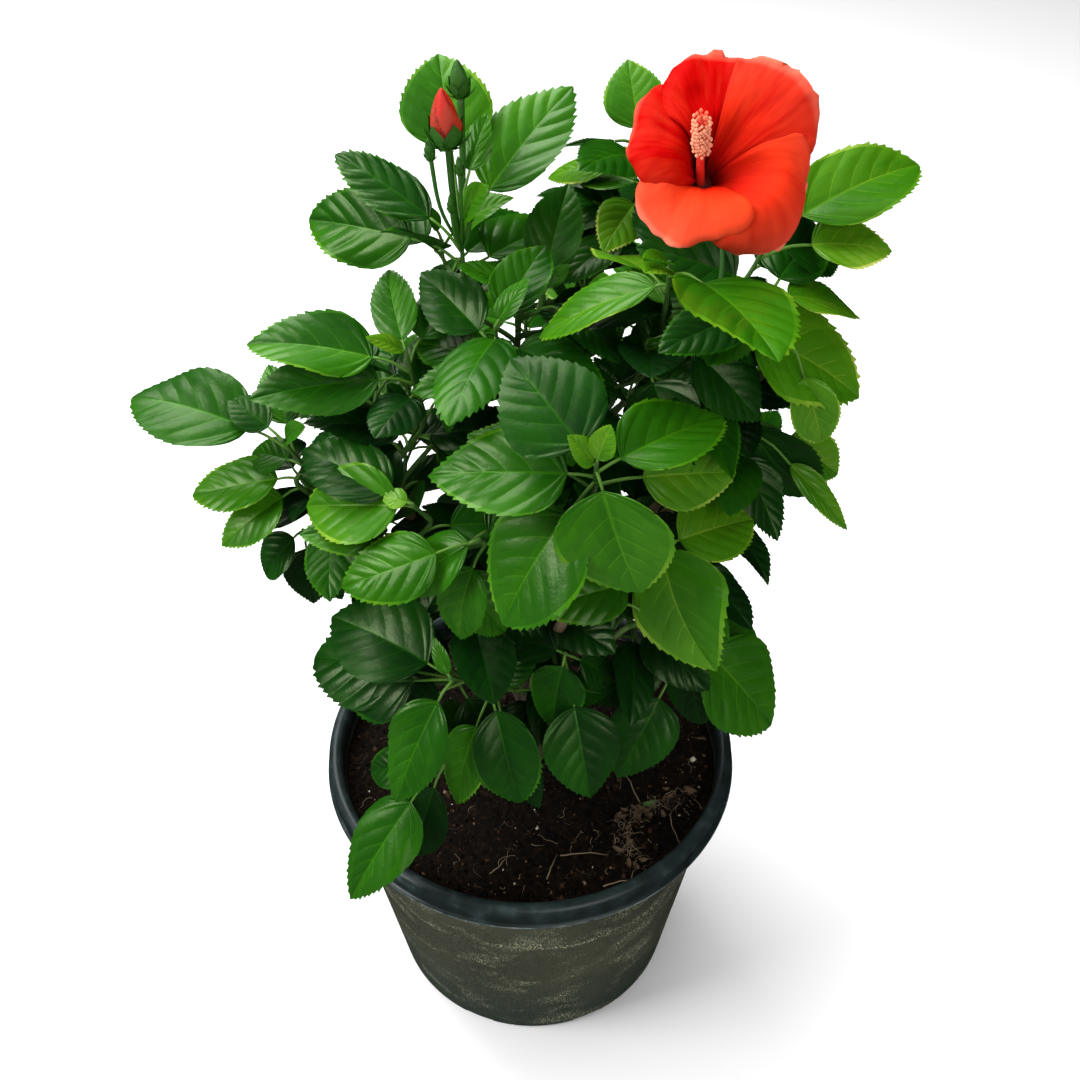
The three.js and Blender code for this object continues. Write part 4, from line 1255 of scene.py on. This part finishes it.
def grow_leaf(
    leaves, stalks, place, axis, turn, rise, stalk_length, length, tint, ratio, roll, bend, freedom,
):
    """One leaf on its stalk. It seeks room within so many degrees, and a leaf that the rule adds doesn't
    grow where it finds none.
    """
    shape = {
        "ratio": ratio * chance.uniform(0.93, 1.02),
        "powers": (chance.uniform(0.48, 0.6), chance.uniform(0.72, 1.02)),
        "fold": math.radians(chance.uniform(10, 24 if freedom < 10 else 28)),
        "curl": chance.uniform(0.0, 0.8),
        "wave": chance.uniform(1.0, 3.4) * length / 75,
        "phase": chance.uniform(0, FULL_TURN),
        "swell": length * chance.uniform(0.008, 0.024),
        "sickle": chance.normal() * 0.035,
        "twist": chance.normal() * 0.18,
        "teeth": length * chance.uniform(0.007, 0.012),
    }
    roll = math.radians(roll)
    best = None
    for swing, lift in ((0, 0), (0, 1), (0, -1), (1, 0), (-1, 0), (1, -1), (-1, -1), (1, 1), (-1, 1)):
        flat = compass(turn + swing * freedom)
        out = unit(flat - axis * flat.dot(axis))
        angle = math.radians(rise + lift * freedom * 0.6)
        forward = out * math.cos(angle) + axis * math.sin(angle)
        stalk_way = unit(forward + axis * 0.5)
        middle = place + stalk_way * stalk_length * 0.6
        foot = middle + forward * stalk_length * 0.4
        light = 0.15 * axis + 0.85 * FRONT_SKY if freedom < 10 else 0.45 * axis + 0.55 * SKY
        face = unit(np.cross(np.cross(forward, light), forward))
        side = np.cross(forward, face)
        turned = np.array([
            side * math.cos(roll) + face * math.sin(roll),
            forward,
            face * math.cos(roll) - side * math.sin(roll),
        ])
        points = foot + blade_points(length, bend=math.radians(bend), **shape) @ turned
        cost = crowding(points[SAMPLED]) + 1.5 * (abs(swing) + abs(lift))
        if best is None or cost < best[0]:
            best = (cost, points, middle, foot)
    cost, points, middle, foot = best
    if freedom > 10 and cost > MOST_CROWDED:
        return
    crown_samples.append((points[SAMPLED].mean(axis=0), points[SAMPLED]))
    # The green is patchy and pales to the tip, the veins and the edge. One half of each blade is painted
    # lighter and the other darker, as painted light and shade on the two sides of its fold. Many edges are
    # yellow-green.
    green = 0.6 + GREENS_PER_TINT * tint + 2.2 * (FACE_PLACE - 0.5) + 3.2 * FACE_IS_VEIN + FACE_REACH ** 3
    green += 0.1 * chance.normal(size=len(green))
    # A random shift for the whole leaf, and painted light and shade that make one half of the blade lighter
    # than the other.
    green += 0.5 * chance.normal() + 0.8 * chance.normal() * FACE_SIDE
    cloud_phase = chance.uniform(0, FULL_TURN, 2)
    green += np.sin(7 * FACE_PLACE + cloud_phase[0]) * np.sin(4 * FACE_REACH * FACE_SIDE + cloud_phase[1])
    if tint >= 1 and length > 45 and chance.uniform() < (0.4 if tint < 3.3 else 1):
        green += (3.8 + 2 * np.sin(9 * FACE_PLACE + cloud_phase[1] + FACE_SIDE)) * (FACE_REACH > 0.95)
    leaves.add(points * MM, BLADE_FACES, np.clip(np.round(green), 0, GREEN_STEPS - 1).astype(int))
    path = smooth_route([place, middle, foot])[::20]
    stalks.add(*tube(path * MM, np.linspace(*STALK_GIRTHS, len(path)) * MM, 6), 0)


def grow_shoot(leaves, stalks, bough_name, tip, lean, tilt, tint, named, more, size, first):
    """At first the shoot, from bough to tip, with the leaves that stand out, and then the other leaves."""
    tip = np.array(tip, dtype=float)
    tilt = math.radians(tilt)
    axis = compass(lean) * math.sin(tilt) + np.array([0, 0, 1]) * math.cos(tilt)
    passed = max(len(named), 5) if named else 0
    count = min(passed + more, len(NODES))
    straight = NODES[max(len(named), 3) - 1]
    wood = routes[bough_name][: round(wooded[bough_name] * ROUTE_STEPS) + 1]
    joint = np.linalg.norm(wood - (tip - axis * (NODES[count - 1] + 10)), axis=1).argmin()
    foot, heading = along(routes[bough_name], joint / ROUTE_STEPS)
    spring = foot + unit(heading + axis * 0.4) * 12
    path = smooth_route([foot, spring, tip - axis * straight, tip - axis * straight * 0.5, tip])
    run = np.linalg.norm(np.diff(path, axis=0), axis=1).sum()
    if first:
        stalks.add(*tube(path[::6] * MM, np.linspace(*SHOOT_GIRTHS, len(path[::6])) * MM, 8), 1)
        for down, (turn, rise, stalk, length, leaf_tint, ratio, *roll) in zip(NODES, named):
            blade = (length, leaf_tint, ratio, sum(roll) + 7 * chance.normal(), 26 + 5 * chance.normal())
            grow_leaf(leaves, stalks, tip - axis * down, axis, turn, rise, stalk, *blade, 4)
        return
    turn = chance.uniform(0, 360)
    for i in range(passed, count):
        place, heading = along(path, max(1 - NODES[i] / run, 0))
        turn += LEAF_TURN + chance.normal() * 9
        rise = YOUNG_RISE[i] + chance.normal() * 6
        length = size * YOUNG_SIZE[i] * chance.uniform(0.92, 1.06)
        stalk = length * chance.uniform(0.22, 0.38)
        leaf_tint = int(np.clip(round(tint + 0.5 - 0.18 * i + 0.5 * chance.normal()), 0, 5))
        stand = unit(axis * 0.6 + heading * 0.4)
        blade = (length, leaf_tint, chance.uniform(0.6, 0.76), chance.normal() * 10, chance.uniform(12, 46))
        grow_leaf(leaves, stalks, place, stand, turn, rise, stalk, *blade, 24)


CROWN_PIECES = {
    "leaves_of_the_top": ["leaves_bud_top", "leaves_back_top", "leaves_flower", "leaves_right_top"],
    "leaves_of_the_left": ["leaves_left", "leaves_far_left", "leaves_far_left_low", "leaves_front_left"],
    "leaves_of_the_middle": ["leaves_centre", "leaves_centre_back", "leaves_front", "leaves_front_right"],
    "leaves_of_the_right_and_foot": [
        "leaves_right", "leaves_low_left", "leaves_over_rim", "leaves_low_front", "leaves_low_right",
    ],
    "leaves_of_the_back": ["leaves_back_left", "leaves_back", "leaves_back_right", "leaves_low_back"],
}
stalk_heap = Heap()
leaf_heaps = {piece_name: Heap() for piece_name in CROWN_PIECES}
for first in (True, False):
    for piece_name, masses in CROWN_PIECES.items():
        for mass in masses:
            bough = mass.replace("leaves", "bough")
            for shoot in SHOOTS[mass]:
                grow_shoot(leaf_heaps[piece_name], stalk_heap, bough, *shoot, first)
for piece_name, masses in CROWN_PIECES.items():
    leaves = leaf_heaps[piece_name].piece(piece_name, leaf_materials)
    settle(leaves, "foliage", *masses)
stalks = stalk_heap.piece("green_shoots_and_stalks", stalk_materials)
settle(stalks, "foliage")

# ---- Buds ----
# One bud is about to open, one is green on a long stalk, and small ones stand in the axils under them.
# Each is a furled bloom in a green cup with five teeth and a ring of bracts, as under the open bloom.

# How many teeth and bracts the cup has, and their width, reach, rise and lean as shares of its size.
CUP_TEETH = (5, 0.62, 1, 1, 0)
CUP_BRACTS = (7, 0.2, 0.9, 0.5, 0.45)
TOOTH_ROWS = 7


def grow_calyx(heap, foot, axis, radius, length):
    """A green cup with five teeth, ringed by seven narrow bracts."""
    side = unit(np.cross(axis, (0.2, 0.5, 0.9)))
    other = np.cross(axis, side)
    for count, width, reach, rise, lean in (CUP_TEETH, CUP_BRACTS):
        for i in range(count):
            turn = 2 * math.pi * i / count
            out = side * math.cos(turn) + other * math.sin(turn)
            across = other * math.cos(turn) - side * math.sin(turn)
            points, faces = [], []
            for j in range(TOOTH_ROWS):
                t = j / (TOOTH_ROWS - 1)
                half = radius * width * (1.1 if t < 0.5 else 1.1 * (1 - t) / 0.5) + 0.12
                away = radius * (0.45 + 0.55 * min(t * 2.5, 1) + lean * t + 0.1 * reach * t)
                place = foot + axis * length * rise * t + out * away
                for k in (-1, 0, 1):
                    points.append(place + across * half * k - out * abs(k) * half * 0.35)
            for j in range(TOOTH_ROWS - 1):
                for k in range(2):
                    first = j * 3 + k
                    faces.append((first, first + 1, first + 4, first + 3))
            heap.add(np.array(points) * MM, faces, 0)
    cup = [foot - axis * 1.5, foot, foot + axis * length * 0.25, foot + axis * length * 0.5]
    heap.add(*tube(np.array(cup) * MM, np.array([0.3, 0.5, 0.9, 0.95]) * radius * MM, 12), 0)


BUD_SIDES, BUD_RINGS = 36, 18
BUD_WRAPS = 3


def grow_bud(heap, foot, axis, radius, length, red):
    """A closed bloom: petals wrapped round each other like a furled umbrella."""
    side = unit(np.cross(axis, (0.2, 0.5, 0.9)))
    other = np.cross(axis, side)
    points, faces, slots = [], [], []
    for i in range(BUD_RINGS):
        t = i / (BUD_RINGS - 1)
        belly = math.sin(math.pi * min(0.15 + 0.85 * t, 1) ** 0.85) ** 0.75 + 0.06
        girth = radius * belly * (1.06 - 0.3 * t)
        for j in range(BUD_SIDES):
            turn = 2 * math.pi * j / BUD_SIDES
            out = side * math.cos(turn) + other * math.sin(turn)
            fold = (turn * BUD_WRAPS / (2 * math.pi) + t * 0.9) % 1
            points.append(foot + axis * length * t + out * girth * (0.88 + 0.2 * fold ** 1.5))
            if i < BUD_RINGS - 1:
                k = (j + 1) % BUD_SIDES
                first, second = i * BUD_SIDES, (i + 1) * BUD_SIDES
                faces.append((first + j, first + k, second + k, second + j))
                petal = 3 if fold < 0.1 else 2 if t > 0.5 + 0.3 * fold else 1
                slots.append(petal if red else 0)
    faces.append(tuple(range(BUD_SIDES - 1, -1, -1)))
    faces.append(tuple(range((BUD_RINGS - 1) * BUD_SIDES, BUD_RINGS * BUD_SIDES)))
    heap.add(np.array(points) * MM, faces, slots + [2 if red else 0] * 2)


# A bud is smooth and slightly waxy, so it has a soft sheen. Its petals are painted a deeper red in their
# folds, as painted shade.
BUD_FINISHES = [
    ("bud_green", "#2a6010", 0.5),
    ("furled_petal", "#b02c0e", 0.55),
    ("bright_petal_tip", "#c2200c", 0.55),
    ("shaded_petal_fold", "#861a08", 0.6),
]
bud_heap = Heap()
bloom_foot = np.array([109, -22, 694])
grow_calyx(bud_heap, bloom_foot, unit(THROAT - bloom_foot), 6.5, 26)
bloom_stalk = smooth_route([(88, -36, 634), (108, -35, 662), bloom_foot])[::8]
bud_heap.add(*tube(bloom_stalk * MM, np.linspace(1.7, 1.3, len(bloom_stalk)) * MM, 8), 0)
# Where each bud's foot is, its radius and length, whether its petals show red, and the radius of its cup.
top_axis = unit(np.array([-0.06, -0.1, 1]))
whorl = np.array([-36, 30, 650])
BUDS = [
    ((-40, 22, 722), 8.6, 32, True, 9.4),
    ((-33, 42, 742), 5.2, 19, False, 5.9),
    ((-50, 18, 716), 2.6, 11, False, 3.0),
    ((-34, 16, 708), 2.0, 9, False, 2.4),
    ((-40, 18, 684), 1.8, 9, False, 2.2),
    ((-30, 22, 676), 1.5, 8, False, 1.9),
]
for foot, radius, length, red, calyx_radius in BUDS:
    foot = np.array(foot, dtype=float)
    reach = foot - whorl
    grow_bud(bud_heap, foot, top_axis, radius, length, red)
    grow_calyx(bud_heap, foot - top_axis * 3, top_axis, calyx_radius, length * 0.5 + 2)
    stalk = smooth_route([whorl + reach * 0.05, whorl + reach * (0.75, 0.75, 0.5), foot])[::12]
    girths = np.linspace(1.0, 1.5, len(stalk)) * (0.9 if radius < 4 else 1.5)
    bud_heap.add(*tube(stalk * MM, girths * MM, 8), 0)
bud_materials = [grained(*finish, 2 * MM, 0.6 * MM) for finish in BUD_FINISHES]
buds = bud_heap.piece("buds_and_calyx", bud_materials)
settle(buds, "foliage")

# ---- Floor, light and camera ----
# A plain pale floor under soft studio light. A large light hangs over the plant, and smaller ones stand in
# front, at the left like a window, and behind. The camera looks down on the plant from the front.
bpy.ops.object.select_all(action="DESELECT")
bpy.ops.mesh.primitive_plane_add(size=30, location=(0, 0, -0.5 * MM))
floor = bpy.context.object
floor.name = "studio_floor"
floor.data.materials.append(new_material("matt_white_floor", "#fbfbfb", 0.9)[0])
floor.visible_glossy = False
floor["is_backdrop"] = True


def add_light(name, place, size, power, target=(0, 0, 0.45)):
    """A square soft box of so many metres and watts, turned to the middle of the crown."""
    bpy.ops.object.light_add(type="AREA", location=place)
    light = bpy.context.object
    light.name = name
    light.data.size = size
    light.data.energy = power
    light.rotation_euler = (Vector(target) - Vector(place)).to_track_quat("-Z", "Y").to_euler()
    return light


sky_light = add_light("sky_light", (-0.5, 0.5, 3.2), 3.6, 116)
sky_light.visible_glossy = False
add_light("front_fill", (0.9, -2.2, 1.8), 1.6, 29)
add_light("window_light", (-2.0, -0.6, 1.9), 1.1, 46)
add_light("back_light", (-0.9, 1.2, 2.4), 1.5, 44)
world = bpy.data.worlds.new("studio_white")
world.use_nodes = True
world.cycles_visibility.glossy = False
background = world.node_tree.nodes["Background"]
background.inputs["Color"].default_value = (1, 1, 1, 1)
background.inputs["Strength"].default_value = 0.12
bpy.context.scene.world = world
bpy.context.scene.view_settings.view_transform = "Standard"

CAMERA_PLACE = (9 * MM, -659 * MM, 1038 * MM)
LOOKS_DOWN = 41.95
CAMERA_ROLL = -0.46
FOCAL_LENGTH, SENSOR_WIDTH = 43.33, 36
bpy.ops.object.camera_add(location=CAMERA_PLACE, rotation=(math.radians(90 - LOOKS_DOWN), 0, 0))
camera = bpy.context.object
camera.rotation_euler.rotate_axis("Z", math.radians(CAMERA_ROLL))
camera.data.lens = FOCAL_LENGTH
camera.data.sensor_width = SENSOR_WIDTH
bpy.context.scene.camera = camera

low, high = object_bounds()
